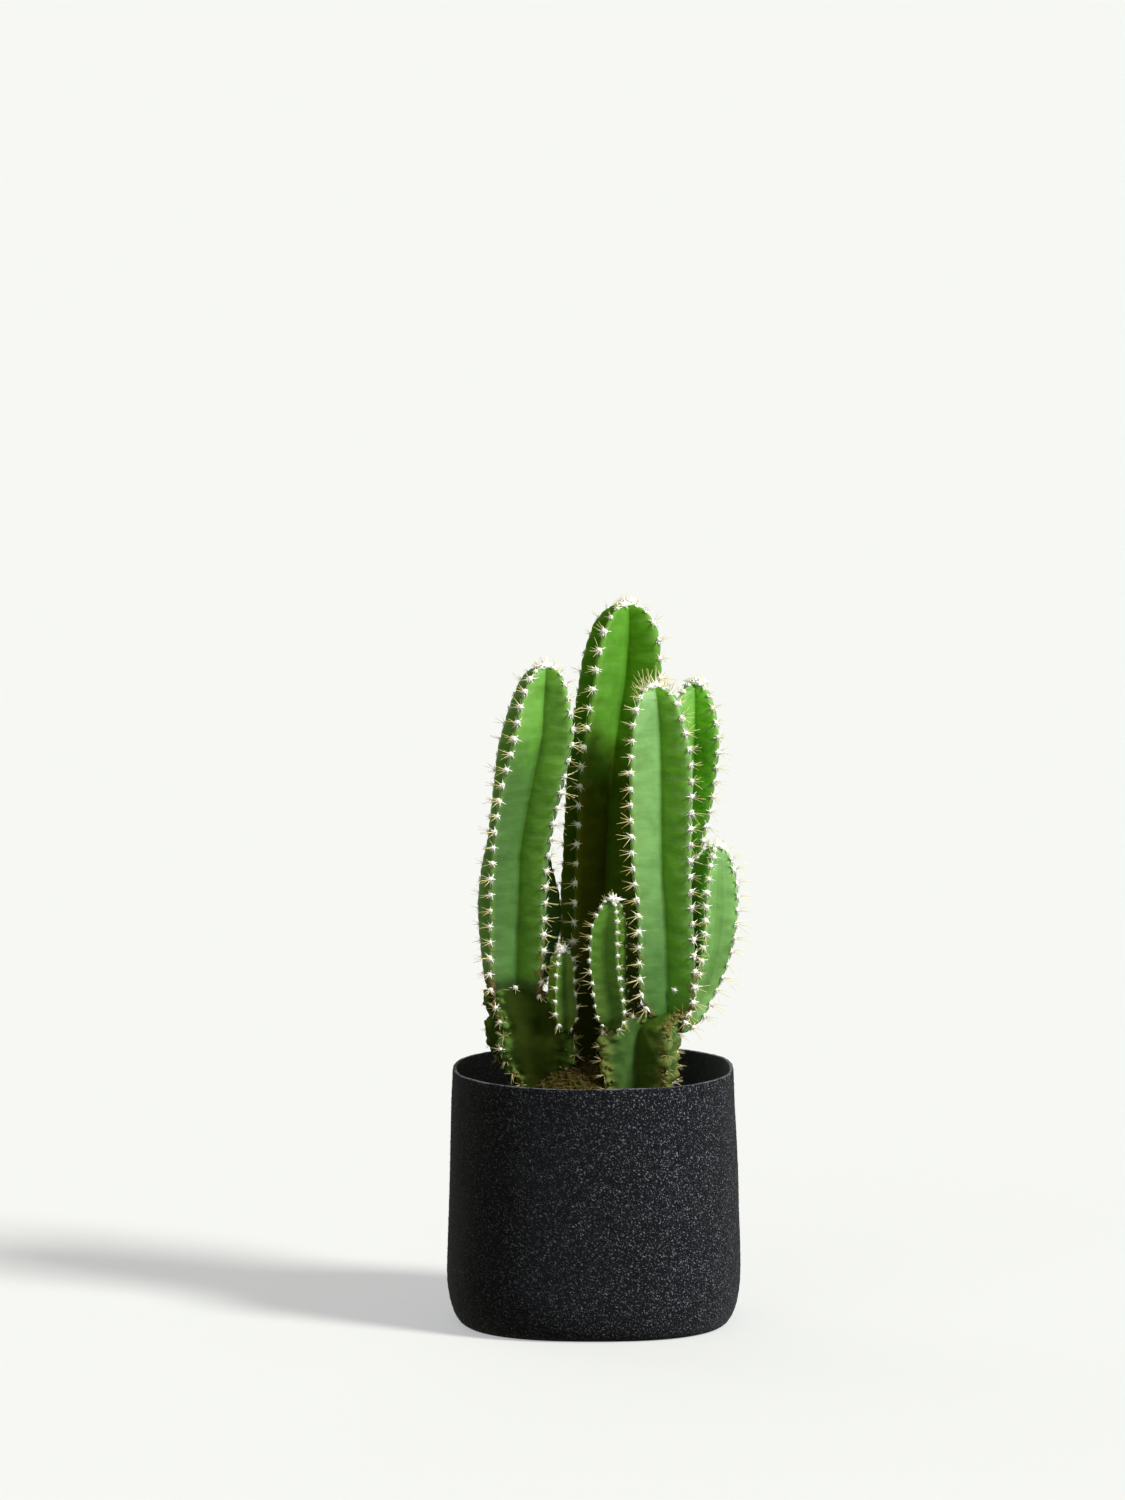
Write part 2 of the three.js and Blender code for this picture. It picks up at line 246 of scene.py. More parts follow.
@dataclass(frozen=True)
class StemSkin:
    """Cactus skin: painted lit and shaded flanks, darker low down and at the foot, partly with painted shade,
    and corky on old ribs.

    Ages run from 0 at a stem's tip to 1 at its foot.

    Attributes:
        name: the finish's name.
        lit_side: colour painted on the flanks that face right, towards the key light, as painted light.
        shaded_side: colour painted on the flanks that face left, away from it, as painted shade.
        ridge: colour of the crests and of the pale bands, which are partly painted highlights.
        low_glaze: glaze that darkens the lower part, partly the older skin's colour and partly painted shade
            between the stems.
        low_reach: ages between which it comes in.
        low_shade: how much of it the flanks painted as shaded get.
        low_behind: how much of it the rear of the stem gets, where less painted shade falls.
        foot_shade: painted shade that darkens the foot, where the stem meets the one below or the soil.
        foot_reach: ages between which it comes in.
        pale_share: strength of the pale bands, which are painted highlights on the bulges between tufts, and
            of the paler ripples.
        ridge_share: strength of the crests' colour.
        ridge_reach: how far out that colour begins and is full.
        ridge_patches: how much of it is worn off in patches.
        cork: the darker colour of the cork.
        cork_reach: how far the cork spreads.
        lid_cork: how much more cork lies on what faces up.
        gloss: how much the skin shines.
        slot: its material slot.
    """

    CLOUD_SIZE = 8 * MM
    RIPPLE_SIZE = 4.5 * MM
    DULL_SIZE = 11 * MM
    BLOTCH_SIZE = 7 * MM
    BARE_SIZE = 4.5 * MM
    WORN_SIZE = 5 * MM
    GRAIN_SIZE = 1.1 * MM
    WAVE_SIZE = 7 * MM
    WAVE_DEPTH = 0.4 * MM
    PORE_SIZE = 0.55 * MM
    PORE_DEPTH = 0.05 * MM
    CORK_DEPTH = 0.9 * MM
    FLATTENING = (0.45, 0.45, 1.5)
    DULL_GLAZE = (0.76, 0.81, 0.74, 1.0)
    BLOTCH_GLAZE = (0.78, 0.8, 0.66, 1.0)
    # Glaze of the painted shade in the valleys.
    VALLEY_SHADE = (0.72, 0.76, 0.6, 1.0)
    LIGHT_CORK = 2.3

    name: str
    lit_side: Colour
    shaded_side: Colour
    ridge: Colour
    low_glaze: Colour
    low_reach: tuple[float, float] = (0.1, 0.75)
    low_shade: float = 1.0
    low_behind: float = 1.0
    foot_shade: Colour = (1.0, 1.0, 1.0, 1.0)
    foot_reach: tuple[float, float] = (0.925, 0.975)
    pale_share: float = 0.36
    ridge_share: float = 0.5
    ridge_reach: tuple[float, float] = (0.84, 0.98)
    ridge_patches: float = 0.0
    cork: Colour = (0.13, 0.085, 0.022, 1.0)
    cork_reach: float = 0.0
    lid_cork: float = 0.0
    gloss: float = 0.35
    slot: str = "green_stem"

    def fresh_colour(self, recipe: Recipe, at: Wire, flat: Wire, lit_share: Wire) -> Wire:
        """Colour of the skin before the low and foot glazes: painted lit and shaded flanks, pale bands, dull
        patches, valley shade and crests.

        Args:
            recipe: the material in the making.
            at: where a point lies.
            flat: the same place, for patches that are wide and low.
            lit_share: 1 on the flanks painted as lit and 0 on those painted as shaded.

        Returns:
            The colour.
        """
        crest = recipe.carried("crest")
        band = recipe.carried("band")
        colour = recipe.mix(lit_share, self.shaded_side, self.lit_side)
        # Pale bands near the crests, in step with the tufts: painted highlight on the bulges between them,
        # mixed with random paler ripples.
        ripples = recipe.noise(flat, self.RIPPLE_SIZE, 3.0, 0.55)
        pale = recipe.fade(0.6 * band * crest + 0.9 * (ripples - 0.5), 0.05, 0.5)
        colour = recipe.mix(self.pale_share * pale, colour, self.ridge)
        dull = recipe.fade(recipe.noise(at, self.DULL_SIZE, 3.0, 0.55), 0.42, 0.66)
        colour = recipe.tint(0.8 * dull, colour, self.DULL_GLAZE)
        blotches = recipe.fade(recipe.noise(flat, self.BLOTCH_SIZE, 4.0, 0.6), 0.5, 0.68)
        # Painted light: the random blotches are half as strong on the flanks painted as lit.
        colour = recipe.tint(0.55 * blotches * (1.0 - 0.5 * lit_share), colour, self.BLOTCH_GLAZE)
        # Painted shade in the valleys between the ribs.
        valley = recipe.fade(0.1 - crest, 0.0, 0.1)
        colour = recipe.tint(0.6 * valley, colour, self.VALLEY_SHADE)
        bare = self.ridge_patches * recipe.fade(recipe.noise(at, self.BARE_SIZE), 0.4, 0.62)
        share = self.ridge_share * recipe.fade(crest, *self.ridge_reach) * (1.0 - bare)
        return recipe.mix(share, colour, self.ridge)

    def darkened(self, recipe: Recipe, colour: Wire, clouds: Wire, lit_share: Wire) -> Wire:
        """The colour with its glazes low down and at the foot, partly older skin and partly painted shade.

        Args:
            recipe: the material in the making.
            colour: the colour before.
            clouds: soft noise that makes their edges uneven.
            lit_share: 1 on the flanks painted as lit and 0 on those painted as shaded.

        Returns:
            The colour after.
        """
        age = recipe.carried("age")
        behind = recipe.fade(recipe.carried("rearward"), 0.05, 0.6)
        # Darker low down: partly older skin, partly painted shade between the stems, scaled on the flanks
        # painted as shaded and at the rear.
        low = recipe.fade(age + 0.2 * (clouds - 0.5), *self.low_reach)
        low = low * (lit_share * (1.0 - self.low_shade) + self.low_shade)
        low = low * (1.0 - (1.0 - self.low_behind) * behind)
        # Painted shade at the foot.
        foot = recipe.fade(age + 0.05 * (clouds - 0.5), *self.foot_reach)
        return recipe.tint(foot, recipe.tint(low, colour, self.low_glaze), self.foot_shade)

    def corky(self, recipe: Recipe, at: Wire) -> Wire:
        """How corky the skin is: most on crests, low down and, on some stems, on what faces up.

        Args:
            recipe: the material in the making.
            at: where a point lies.

        Returns:
            0 on bare skin to 1 on full cork.
        """
        worn = recipe.noise(at, self.WORN_SIZE, 5.0, 0.7)
        lid = self.lid_cork * recipe.fade(recipe.carried("upward"), 0.3, 0.75)
        wear = 0.62 * recipe.carried("crest") + 0.75 * recipe.carried("age") + 0.9 * (worn - 0.5) + lid
        return recipe.fade(wear, 1.12 - self.cork_reach, 1.4)

    def material(self) -> bpy.types.Material:
        """The finish as a material."""
        recipe = Recipe(self.name)
        at = recipe.place()
        flat = recipe.stretched(at, self.FLATTENING)
        clouds = recipe.noise(at, self.CLOUD_SIZE)
        # Painted light and shade: flanks that face the key light take the lit colour, and the rest take the
        # shaded one.
        lit_share = recipe.fade(recipe.carried("lit_side") + 0.16 * (clouds - 0.5), -0.3, 0.34)
        colour = self.darkened(recipe, self.fresh_colour(recipe, at, flat, lit_share), clouds, lit_share)
        cork = self.corky(recipe, at)
        grain = recipe.noise(at, self.GRAIN_SIZE, 4.0, 0.7)
        light_cork = tuple(self.LIGHT_CORK * c for c in self.cork[:3]) + (1.0,)
        bark = recipe.mix(recipe.fade(grain, 0.3, 0.72), self.cork, light_cork)
        waves = recipe.bump(recipe.noise(flat, self.WAVE_SIZE, 2.0), self.WAVE_DEPTH)
        pores = recipe.bump(recipe.noise(at, self.PORE_SIZE, 2.0), self.PORE_DEPTH, waves)
        return recipe.finish(
            Base_Color=recipe.mix(cork, colour, bark),
            Roughness=0.46 + 0.1 * clouds + 0.35 * cork,
            Normal=recipe.bump(grain * cork, self.CORK_DEPTH, pores),
            Specular_IOR_Level=self.gloss,
        )


@dataclass(frozen=True)
class HairFinish:
    """Wool, spines, fibres or crumbs: one colour at the foot, one at the tip, and no two quite alike.

    Attributes:
        name: the finish's name.
        slot: its material slot.
        foot: colour at the foot.
        tip: colour at the tip.
        aged: colour of the older ones, and of fine marks on all.
        roughness: how matt it is.
        turn_at: shares of the length between which the colour turns.
        glow: strength of a painted glow in its own colour, which keeps it bright in shade.
    """

    FINE_SIZE = 0.35 * MM
    FINE_DEPTH = 0.08 * MM

    name: str
    slot: str
    foot: Colour
    tip: Colour
    aged: Colour
    roughness: float
    turn_at: tuple[float, float] = (0.15, 0.7)
    glow: float = 0.0

    def material(self) -> bpy.types.Material:
        """The finish as a material."""
        recipe = Recipe(self.name)
        at = recipe.place()
        colour = recipe.mix(recipe.fade(recipe.carried("along"), *self.turn_at), self.foot, self.tip)
        lot = recipe.fade(recipe.carried("lot"), 0.55, 1.0)
        colour = recipe.mix(0.7 * lot, colour, self.aged)
        fine = recipe.noise(at, self.FINE_SIZE, 2.0)
        return recipe.finish(
            Base_Color=recipe.mix(0.35 * recipe.fade(fine, 0.35, 0.7), colour, self.aged),
            Roughness=self.roughness,
            Normal=recipe.bump(fine, self.FINE_DEPTH),
            Specular_IOR_Level=0.3,
            # Painted light: with a glow above 0, the hairs glow in their own colour, though they are no lamp.
            Emission_Color=colour,
            Emission_Strength=self.glow,
        )


@dataclass(frozen=True)
class HairLayer:
    """One layer of short hairs in felt.

    Attributes:
        rotation: how the layer is turned, in radians about each axis.
        shortening: how much finer its noise is across the hairs than along them.
        size: size of the noise, in metres.
        shown: values of the noise at which a hair begins and is full.
    """

    rotation: tuple[float, float, float]
    shortening: float
    size: float
    shown: tuple[float, float]


@dataclass(frozen=True)
class FeltFinish:
    """Needled charcoal felt: a dark matted ground with fine pale hairs, painted more thickly where it faces
    the lights, as a painted highlight.

    Attributes:
        name: the finish's name.
        slot: its material slot.
        dark: colour of the hollows in the ground, partly the felt's own tone and partly painted shade.
        mid: colour of its matted clumps.
        pale: colour of the hairs.
        inside_light: colour painted on the inside of the pot, lighter and bluer than the felt, as painted
            light on its shaded wall.
        rim_edge_light: colour painted along the frayed cut of the rim, as a painted highlight.
        hair_layers: the two layers of hairs.
    """

    CLUMP_SIZE = 1.5 * MM
    CLUMP_DEPTH = 0.35 * MM
    HAIR_DEPTH = 0.12 * MM
    GATHERING_SIZE = 6 * MM
    FRAYING = 0.55 * MM
    EDGE_START = 0.3 * MM
    EDGE_END = 0.08 * MM

    name: str = "charcoal_felt"
    slot: str = "felt"
    dark: Colour = (0.0025, 0.003, 0.0045, 1.0)
    mid: Colour = (0.0082, 0.009, 0.0122, 1.0)
    pale: Colour = (0.3, 0.312, 0.345, 1.0)
    inside_light: Colour = (0.08, 0.084, 0.112, 1.0)
    rim_edge_light: Colour = (0.22, 0.22, 0.235, 1.0)
    hair_layers: tuple[HairLayer, HairLayer] = (
        HairLayer(rotation=(0.5, 0.9, 0.2), shortening=0.45, size=0.6 * MM, shown=(0.645, 0.72)),
        HairLayer(rotation=(-0.8, 0.4, 1.1), shortening=0.4, size=0.52 * MM, shown=(0.655, 0.73)),
    )

    def hairs(self, recipe: Recipe, at: Wire, layer: HairLayer) -> Wire:
        """One layer of hairs.

        Args:
            recipe: the material in the making.
            at: where a point lies.
            layer: the layer.

        Returns:
            0 between hairs to 1 on them.
        """
        turned = recipe.node("ShaderNodeMapping", sockets={"Vector": at, "Rotation": layer.rotation})
        drawn_out = recipe.stretched(turned, (1.0, 1.0, layer.shortening))
        return recipe.fade(recipe.noise(drawn_out, layer.size, 1.0, 0.4), *layer.shown)

    def material(self) -> bpy.types.Material:
        """The finish as a material."""
        recipe = Recipe(self.name)
        at = recipe.place()
        lit_side = recipe.fade(recipe.carried("lit_side"), 0.3, 1.0)
        inside = recipe.carried("inside")
        clumps = recipe.noise(at, self.CLUMP_SIZE, 4.0, 0.75)
        # Darker where the clumps' relief is low: partly the felt's tone, partly painted shade in the hollows.
        colour = recipe.mix(recipe.fade(clumps, 0.4, 0.62), self.dark, self.mid)
        # Painted light on the shaded inside wall.
        colour = recipe.mix(0.75 * inside, colour, self.inside_light)
        first, second = (self.hairs(recipe, at, layer) for layer in self.hair_layers)
        hairs = first.larger(second)
        gathered = recipe.fade(recipe.noise(at, self.GATHERING_SIZE, 3.0, 0.6), 0.3, 0.7)
        # Painted highlight: more pale hairs where the felt faces the lights, and a few more on the inside
        # along with its painted light.
        share = hairs * (0.12 + 0.26 * gathered + 0.6 * lit_side + 0.15 * inside)
        colour = recipe.mix(share, colour, self.pale)
        top = FELT_HEIGHT * MM
        frayed = recipe.height() + self.FRAYING * (clumps - 0.5)
        edge = recipe.fade(frayed, top - self.EDGE_START, top - self.EDGE_END)
        edge = edge * recipe.fade(clumps, 0.38, 0.6)
        # Painted highlight along the rim's frayed top edge.
        colour = recipe.mix(0.6 * edge, colour, self.rim_edge_light)
        matting = recipe.bump(clumps, self.CLUMP_DEPTH)
        return recipe.finish(
            Base_Color=colour,
            Roughness=0.95,
            Normal=recipe.bump(hairs, self.HAIR_DEPTH, matting),
            Specular_IOR_Level=0.12,
            Sheen_Weight=0.05,
            Sheen_Roughness=0.5,
        )


@dataclass(frozen=True)
class PlasticFinish:
    """Thin black moulded plastic, dusty from the potting bench.

    Attributes:
        name: the finish's name.
        slot: its material slot.
        base: colour of the plastic.
        dust: colour of the film of dust.
    """

    FILM_SIZE = 7 * MM
    SCUFF_SIZE = 3 * MM
    SCUFF_DEPTH = 0.06 * MM

    name: str = "black_pot_plastic"
    slot: str = "pot_plastic"
    base: Colour = (0.012, 0.012, 0.013, 1.0)
    dust: Colour = (0.075, 0.052, 0.03, 1.0)

    def material(self) -> bpy.types.Material:
        """The finish as a material."""
        recipe = Recipe(self.name)
        at = recipe.place()
        film = recipe.fade(recipe.noise(at, self.FILM_SIZE, 6.0, 0.7), 0.5, 0.72)
        scuffs = recipe.noise(recipe.stretched(at, (1.0, 1.0, 5.0)), self.SCUFF_SIZE, 4.0, 0.7)
        return recipe.finish(
            Base_Color=recipe.mix(0.55 * film, self.base, self.dust),
            Roughness=0.38 + 0.2 * scuffs + 0.25 * film,
            Normal=recipe.bump(scuffs, self.SCUFF_DEPTH),
        )


@dataclass(frozen=True)
class SoilFinish:
    """Brown peat and coir, matt, with darker hollows, partly dark peat and partly painted shade, and a little
    moss.

    Attributes:
        name: the finish's name.
        slot: its material slot.
        dark: colour of the hollows, partly dark peat and partly painted shade.
        brown: colour of the grains.
        straw: colour of small bits of coir.
        moss: colour of the mossy patches.
    """

    GRAIN_SIZE = 1.8 * MM
    GRAIN_DEPTH = 1.1 * MM
    BIT_SIZE = 0.8 * MM
    MOSS_SIZE = 9 * MM

    name: str = "peat_and_coir"
    slot: str = "soil"
    dark: Colour = (0.006, 0.004, 0.0006, 1.0)
    brown: Colour = (0.06, 0.038, 0.003, 1.0)
    straw: Colour = (0.22, 0.15, 0.02, 1.0)
    moss: Colour = (0.06, 0.078, 0.006, 1.0)

    def material(self) -> bpy.types.Material:
        """The finish as a material."""
        recipe = Recipe(self.name)
        at = recipe.place()
        grains = recipe.noise(at, self.GRAIN_SIZE, 5.0, 0.72)
        # Darker where the grains' relief is low: partly dark peat, partly painted shade in the hollows.
        colour = recipe.mix(recipe.fade(grains, 0.34, 0.66), self.dark, self.brown)
        bits = recipe.fade(recipe.noise(at, self.BIT_SIZE, 2.0), 0.6, 0.72)
        colour = recipe.mix(0.55 * bits, colour, self.straw)
        mossy = recipe.fade(recipe.noise(at, self.MOSS_SIZE, 4.0, 0.6), 0.45, 0.62)
        colour = recipe.mix(0.4 * mossy, colour, self.moss)
        relief = recipe.bump(grains, self.GRAIN_DEPTH)
        return recipe.finish(Base_Color=colour, Roughness=0.97, Normal=relief, Specular_IOR_Level=0.2)


@dataclass(frozen=True)
class StageFinish:
    """A pale studio surface, which takes shadows and glows evenly as well.

    Attributes:
        name: the finish's name.
        paint: its paint, on which shadows show.
        glow: its glow, on which they don't.
    """

    name: str
    paint: Colour
    glow: Colour

    def material(self) -> bpy.types.Material:
        """The finish as a material."""
        return Recipe(self.name).finish(
            Base_Color=self.paint,
            Roughness=0.95,
            Specular_IOR_Level=0.0,
            Emission_Color=self.glow,
            Emission_Strength=1.0,
        )


class Bench:
    """The modelling tools, with one piece on the bench at a time."""

    @staticmethod
    def clear() -> None:
        """Leaves nothing selected and no piece open for editing."""
        if bpy.context.object is not None and bpy.context.object.mode != "OBJECT":
            bpy.ops.object.mode_set(mode="OBJECT")
        bpy.ops.object.select_all(action="DESELECT")

    @staticmethod
    def take(piece: bpy.types.Object) -> None:
        """Puts one piece on the bench.

        Args:
            piece: the piece.
        """
        Bench.clear()
        piece.select_set(True)
        bpy.context.view_layer.objects.active = piece

    @staticmethod
    def edit(piece: bpy.types.Object) -> None:
        """Opens a piece for editing, with all of it selected.

        Args:
            piece: the piece.
        """
        Bench.take(piece)
        bpy.ops.object.mode_set(mode="EDIT")
        bpy.ops.mesh.select_mode(type="VERT")
        bpy.ops.mesh.select_all(action="SELECT")

    @staticmethod
    def choose(piece: bpy.types.Object, wanted: Callable[[bmesh.types.BMVert], bool]) -> None:
        """Selects points of the open piece.

        Args:
            piece: the piece that is open for editing.
            wanted: says whether a point is to be selected.
        """
        mesh = bmesh.from_edit_mesh(piece.data)
        for vert in mesh.verts:
            vert.select_set(wanted(vert))
        mesh.select_flush_mode()
        bmesh.update_edit_mesh(piece.data, loop_triangles=False, destructive=False)

    @staticmethod
    def close() -> None:
        """Turns all faces of the open piece outwards and closes it."""
        bpy.ops.mesh.select_all(action="SELECT")
        bpy.ops.mesh.normals_make_consistent(inside=False)
        bpy.ops.object.mode_set(mode="OBJECT")

    @staticmethod
    def modify(piece: bpy.types.Object, kind: str, **settings: object) -> None:
        """Puts one modifier on a piece and applies it.

        Args:
            piece: the piece.
            kind: the modifier's type.
            settings: its settings.
        """
        Bench.take(piece)
        bpy.ops.object.modifier_add(type=kind)
        modifier = piece.modifiers[-1]
        for name, value in settings.items():
            setattr(modifier, name, value)
        bpy.ops.object.modifier_apply(modifier=modifier.name)

    @staticmethod
    def subdivide(piece: bpy.types.Object, levels: int) -> None:
        """Rounds a piece by subdivision."""
        Bench.modify(piece, "SUBSURF", levels=levels, render_levels=levels)

    @staticmethod
    def roughen(
        piece: bpy.types.Object,
        size: float,
        depth: float,
        direction: str = "NORMAL",
        group: str = "",
        layers: int = 2,
    ) -> None:
        """Moves the surface by cloudy noise.

        Args:
            piece: the piece.
            size: size of the noise, in metres.
            depth: full range of the move, in metres.
            direction: along which way points move.
            group: the vertex group that limits it.
            layers: how many finer layers the noise has.
        """
        texture = bpy.data.textures.new(f"{piece.name}_relief", "CLOUDS")
        texture.noise_scale = size
        texture.noise_depth = layers
        Bench.modify(
            piece,
            "DISPLACE",
            texture=texture,
            texture_coords="LOCAL",
            strength=depth,
            mid_level=0.5,
            direction=direction,
            vertex_group=group,
        )

    @staticmethod
    def weigh(piece: bpy.types.Object, group: str, weights: np.ndarray) -> None:
        """Gives a piece a vertex group.

        Args:
            piece: the piece.
            group: the group's name.
            weights: the weight of each point.
        """
        made = piece.vertex_groups.new(name=group)
        for index, weight in enumerate(weights.tolist()):
            if weight > 0.0:
                made.add([index], weight, "REPLACE")

    @staticmethod
    def carry(piece: bpy.types.Object, name: str, values: np.ndarray) -> None:
        """Lets the mesh carry a value at each of its points, for its material."""
        attribute = piece.data.attributes.new(name, "FLOAT", "POINT")
        attribute.data.foreach_set("value", values.astype(np.float32))

    @staticmethod
    def points(piece: bpy.types.Object) -> np.ndarray:
        """Reads a piece's points.

        Args:
            piece: the piece.

        Returns:
            The place of each point, in metres.
        """
        places = np.empty(len(piece.data.vertices) * 3, np.float32)
        piece.data.vertices.foreach_get("co", places)
        return places.reshape(-1, 3).astype(float)

    @staticmethod
    def normals(piece: bpy.types.Object) -> np.ndarray:
        """Reads which way is out at each point of a piece.

        Args:
            piece: the piece.

        Returns:
            The outward way at each point.
        """
        ways = np.empty(len(piece.data.vertices) * 3, np.float32)
        piece.data.vertices.foreach_get("normal", ways)
        return ways.reshape(-1, 3).astype(float)

    @staticmethod
    def smooth(piece: bpy.types.Object, angle: float = 180.0) -> None:
        """Shades a piece smooth.

        Args:
            piece: the piece.
            angle: edges sharper than this stay sharp, in degrees.
        """
        Bench.take(piece)
        if angle >= 180.0:
            bpy.ops.object.shade_smooth()
        else:
            bpy.ops.object.shade_smooth_by_angle(angle=math.radians(angle))

    @staticmethod
    def dress(piece: bpy.types.Object, material: bpy.types.Material, slot: str) -> None:
        """Gives a piece its finish, fixes it to the object and reports it.

        Args:
            piece: the piece.
            material: its material.
            slot: its material slot; not used.
        """
        piece.data.materials.clear()
        piece.data.materials.append(material)
        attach(piece, "root")
        triangles = sum(len(face.vertices) - 2 for face in piece.data.polygons)
        logger.info("%s: %d triangles", piece.name, triangles)


class RingWall:
    """A wall raised ring by ring from a flat foot, as a potter raises clay."""

    LEAST_MOVE = 1e-6
    LEAST_RESHAPE = 1e-5

    def __init__(self, name: str, sides: int, centre: Vector, radius: float, turn: float = 0.0) -> None:
        """Starts with a flat round foot.

        Args:
            name: the piece's name.
            sides: points on each ring.
            centre: middle of the foot, in metres.
            radius: radius of the foot, in metres.
            turn: how far the ring is turned, in degrees.
        """
        Bench.clear()
        bpy.ops.mesh.primitive_circle_add(
            vertices=sides,
            radius=radius,
            fill_type="NGON",
            location=centre,
            rotation=(0.0, 0.0, math.radians(turn)),
        )
        self.piece = bpy.context.object
        self.piece.name = name
        self.piece.data.name = name
        bpy.ops.object.transform_apply(location=True, rotation=True, scale=True)
        self.centre = centre.copy()
        Bench.edit(self.piece)

    def bearing(self, vert: bmesh.types.BMVert) -> float:
        """Direction of a point from the ring's middle, in degrees."""
        return math.degrees(math.atan2(vert.co.y - self.centre.y, vert.co.x - self.centre.x))

    def raise_to(self, centre: Vector, widen: float) -> None:
        """Raises the next ring.

        Args:
            centre: its middle, in metres.
            widen: its size as a share of the last ring's.
        """
        move = {"value": tuple(centre - self.centre)}
        bpy.ops.mesh.extrude_region_move(TRANSFORM_OT_translate=move)
        self.centre = centre.copy()
        self.resize(widen)

    def resize(self, factor: float) -> None:
        """Resizes what is selected about the ring's middle."""
        if abs(factor - 1.0) > self.LEAST_MOVE:
            bpy.ops.transform.resize(value=(factor, factor, 1.0), center_override=tuple(self.centre))

    def twist(self, degrees: float) -> None:
        """Turns what is selected about the ring's middle, anticlockwise seen from above."""
        if abs(degrees) > self.LEAST_MOVE:
            turn = {"value": -math.radians(degrees), "orient_axis": "Z", "orient_type": "GLOBAL"}
            bpy.ops.transform.rotate(**turn, center_override=tuple(self.centre))

    def reshape(self, factor_of: Callable[[float, float], float]) -> None:
        """Moves the points of the top ring in or out, all points with one factor at once.

        Args:
            factor_of: gives the factor from a point's bearing in degrees and its radius in metres.
        """
        mesh = bmesh.from_edit_mesh(self.piece.data)
        ring = [vert for vert in mesh.verts if vert.select]
        wanted: dict[float, set[int]] = {}
        for vert in ring:
            radius = math.hypot(vert.co.x - self.centre.x, vert.co.y - self.centre.y)
            factor = round(factor_of(self.bearing(vert), radius), 5)
            wanted.setdefault(factor, set()).add(vert.index)
        top = {vert.index for vert in ring}
        for factor, group in wanted.items():
            if abs(factor - 1.0) > self.LEAST_RESHAPE:
                Bench.choose(self.piece, lambda vert, group=group: vert.index in group)
                self.resize(factor)
        Bench.choose(self.piece, lambda vert: vert.index in top)

    def finish(self) -> bpy.types.Object:
        """Closes the wall and hands the piece over."""
        Bench.close()
        return self.piece


@dataclass(frozen=True)
class Slice:
    """A stem at one height.

    Attributes:
        middle: its middle, in millimetres.
        rib: radius to a crest, in millimetres.
        turn: how far its ribs are turned, in degrees.
        rear: length of its rear ribs as a share of the others'.
    """

    middle: Vector
    rib: float
    turn: float
    rear: float

    def bearing(self, rib: int) -> float:
        """Direction of a rib, in degrees."""
        return self.turn + 45.0 + 90.0 * rib

    def reach(self, rib: int) -> float:
        """How far a rib reaches from the middle, in millimetres. The first two ribs are the rear ones."""
        return self.rib * self.rear if rib < 2 else self.rib


class StemLine:
    """The middle line of a stem with all that changes along it, read at any length along its ribs."""

    SAMPLES_PER_ROW = 24
    LEAST_RIB = 0.8

    def __init__(self, path: Sequence[PathRow], turn: float) -> None:
        """Draws one smooth line through the path's rows.

        Args:
            path: x, y, z and rib radius at each row, in millimetres, and if the stem twists there
                its turn in degrees and the length of its rear ribs as a share of the others'.
            turn: the turn of rows that name none.
        """
        rows = np.array([row if len(row) == 6 else (*row, turn, 1.0) for row in path], float)
        padded = np.vstack([2 * rows[0] - rows[1], rows, 2 * rows[-1] - rows[-2]])
        places = np.linspace(0, len(rows) - 1, (len(rows) - 1) * self.SAMPLES_PER_ROW + 1)
        index = np.minimum(places.astype(int), len(rows) - 2)
        share = (places - index)[:, None]
        before, start, end, after = (padded[index + k] for k in range(4))
        bend = 2 * before - 5 * start + 4 * end - after
        curl = 3 * start - before - 3 * end + after
        self.rows = 0.5 * (2 * start + (end - before) * share + bend * share**2 + curl * share**3)
        self.rows[:, 3] = np.maximum(self.rows[:, 3], self.LEAST_RIB)
        steps = np.linalg.norm(np.diff(self.rows[:, :4], axis=0), axis=1)
        self.lengths = np.concatenate([[0.0], np.cumsum(steps)])
        self.length = float(self.lengths[-1])

    def at(self, length: float) -> Slice:
        """The stem at a length along the ribs, in millimetres."""
        x, y, z, rib, turn, rear = (float(np.interp(length, self.lengths, column)) for column in self.rows.T)
        return Slice(Vector((x, y, z)), rib, turn, rear)

    def across(self, heights: np.ndarray) -> dict[str, np.ndarray]:
        """All that changes along the stem, at each height in millimetres."""
        columns = dict(zip(("x", "y", "z", "rib", "turn", "rear"), self.rows.T), length=self.lengths)
        return {name: np.interp(heights, self.rows[:, 2], column) for name, column in columns.items()}


@dataclass(frozen=True)
class Seat:
    """A place for a tuft on a rib.

    Attributes:
        place: where it is, in metres.
        out: which way is out.
        up: which way is up along the rib.
        height_share: how far up the stem it is, from 0 at the foot to 1 at the tip.
        vigour: how well its tuft grew.
    """

    place: Vector
    out: Vector
    up: Vector
    height_share: float
    vigour: float = 1.0

    def matrix(self, twist: float, scale: float) -> Matrix:
        """How a tuft model is placed here.

        Args:
            twist: turn about the outward way, in degrees.
            scale: its size as a share of the model's.

        Returns:
            The placing matrix.
        """
        out = self.out.normalized()
        up = (self.up - out * self.up.dot(out)).normalized()
        side = up.cross(out)
        turn = Matrix((side, up, out)).transposed().to_4x4()
        twisted = turn @ Matrix.Rotation(math.radians(twist), 4, "Z")
        return Matrix.Translation(self.place) @ twisted @ Matrix.Scale(scale, 4)


class Habit(Enum):
    """How a stem grows, which sets its wool, its spines and its bark."""

    YOUNG = "young"
    TALL = "tall"
    WOODY = "woody"


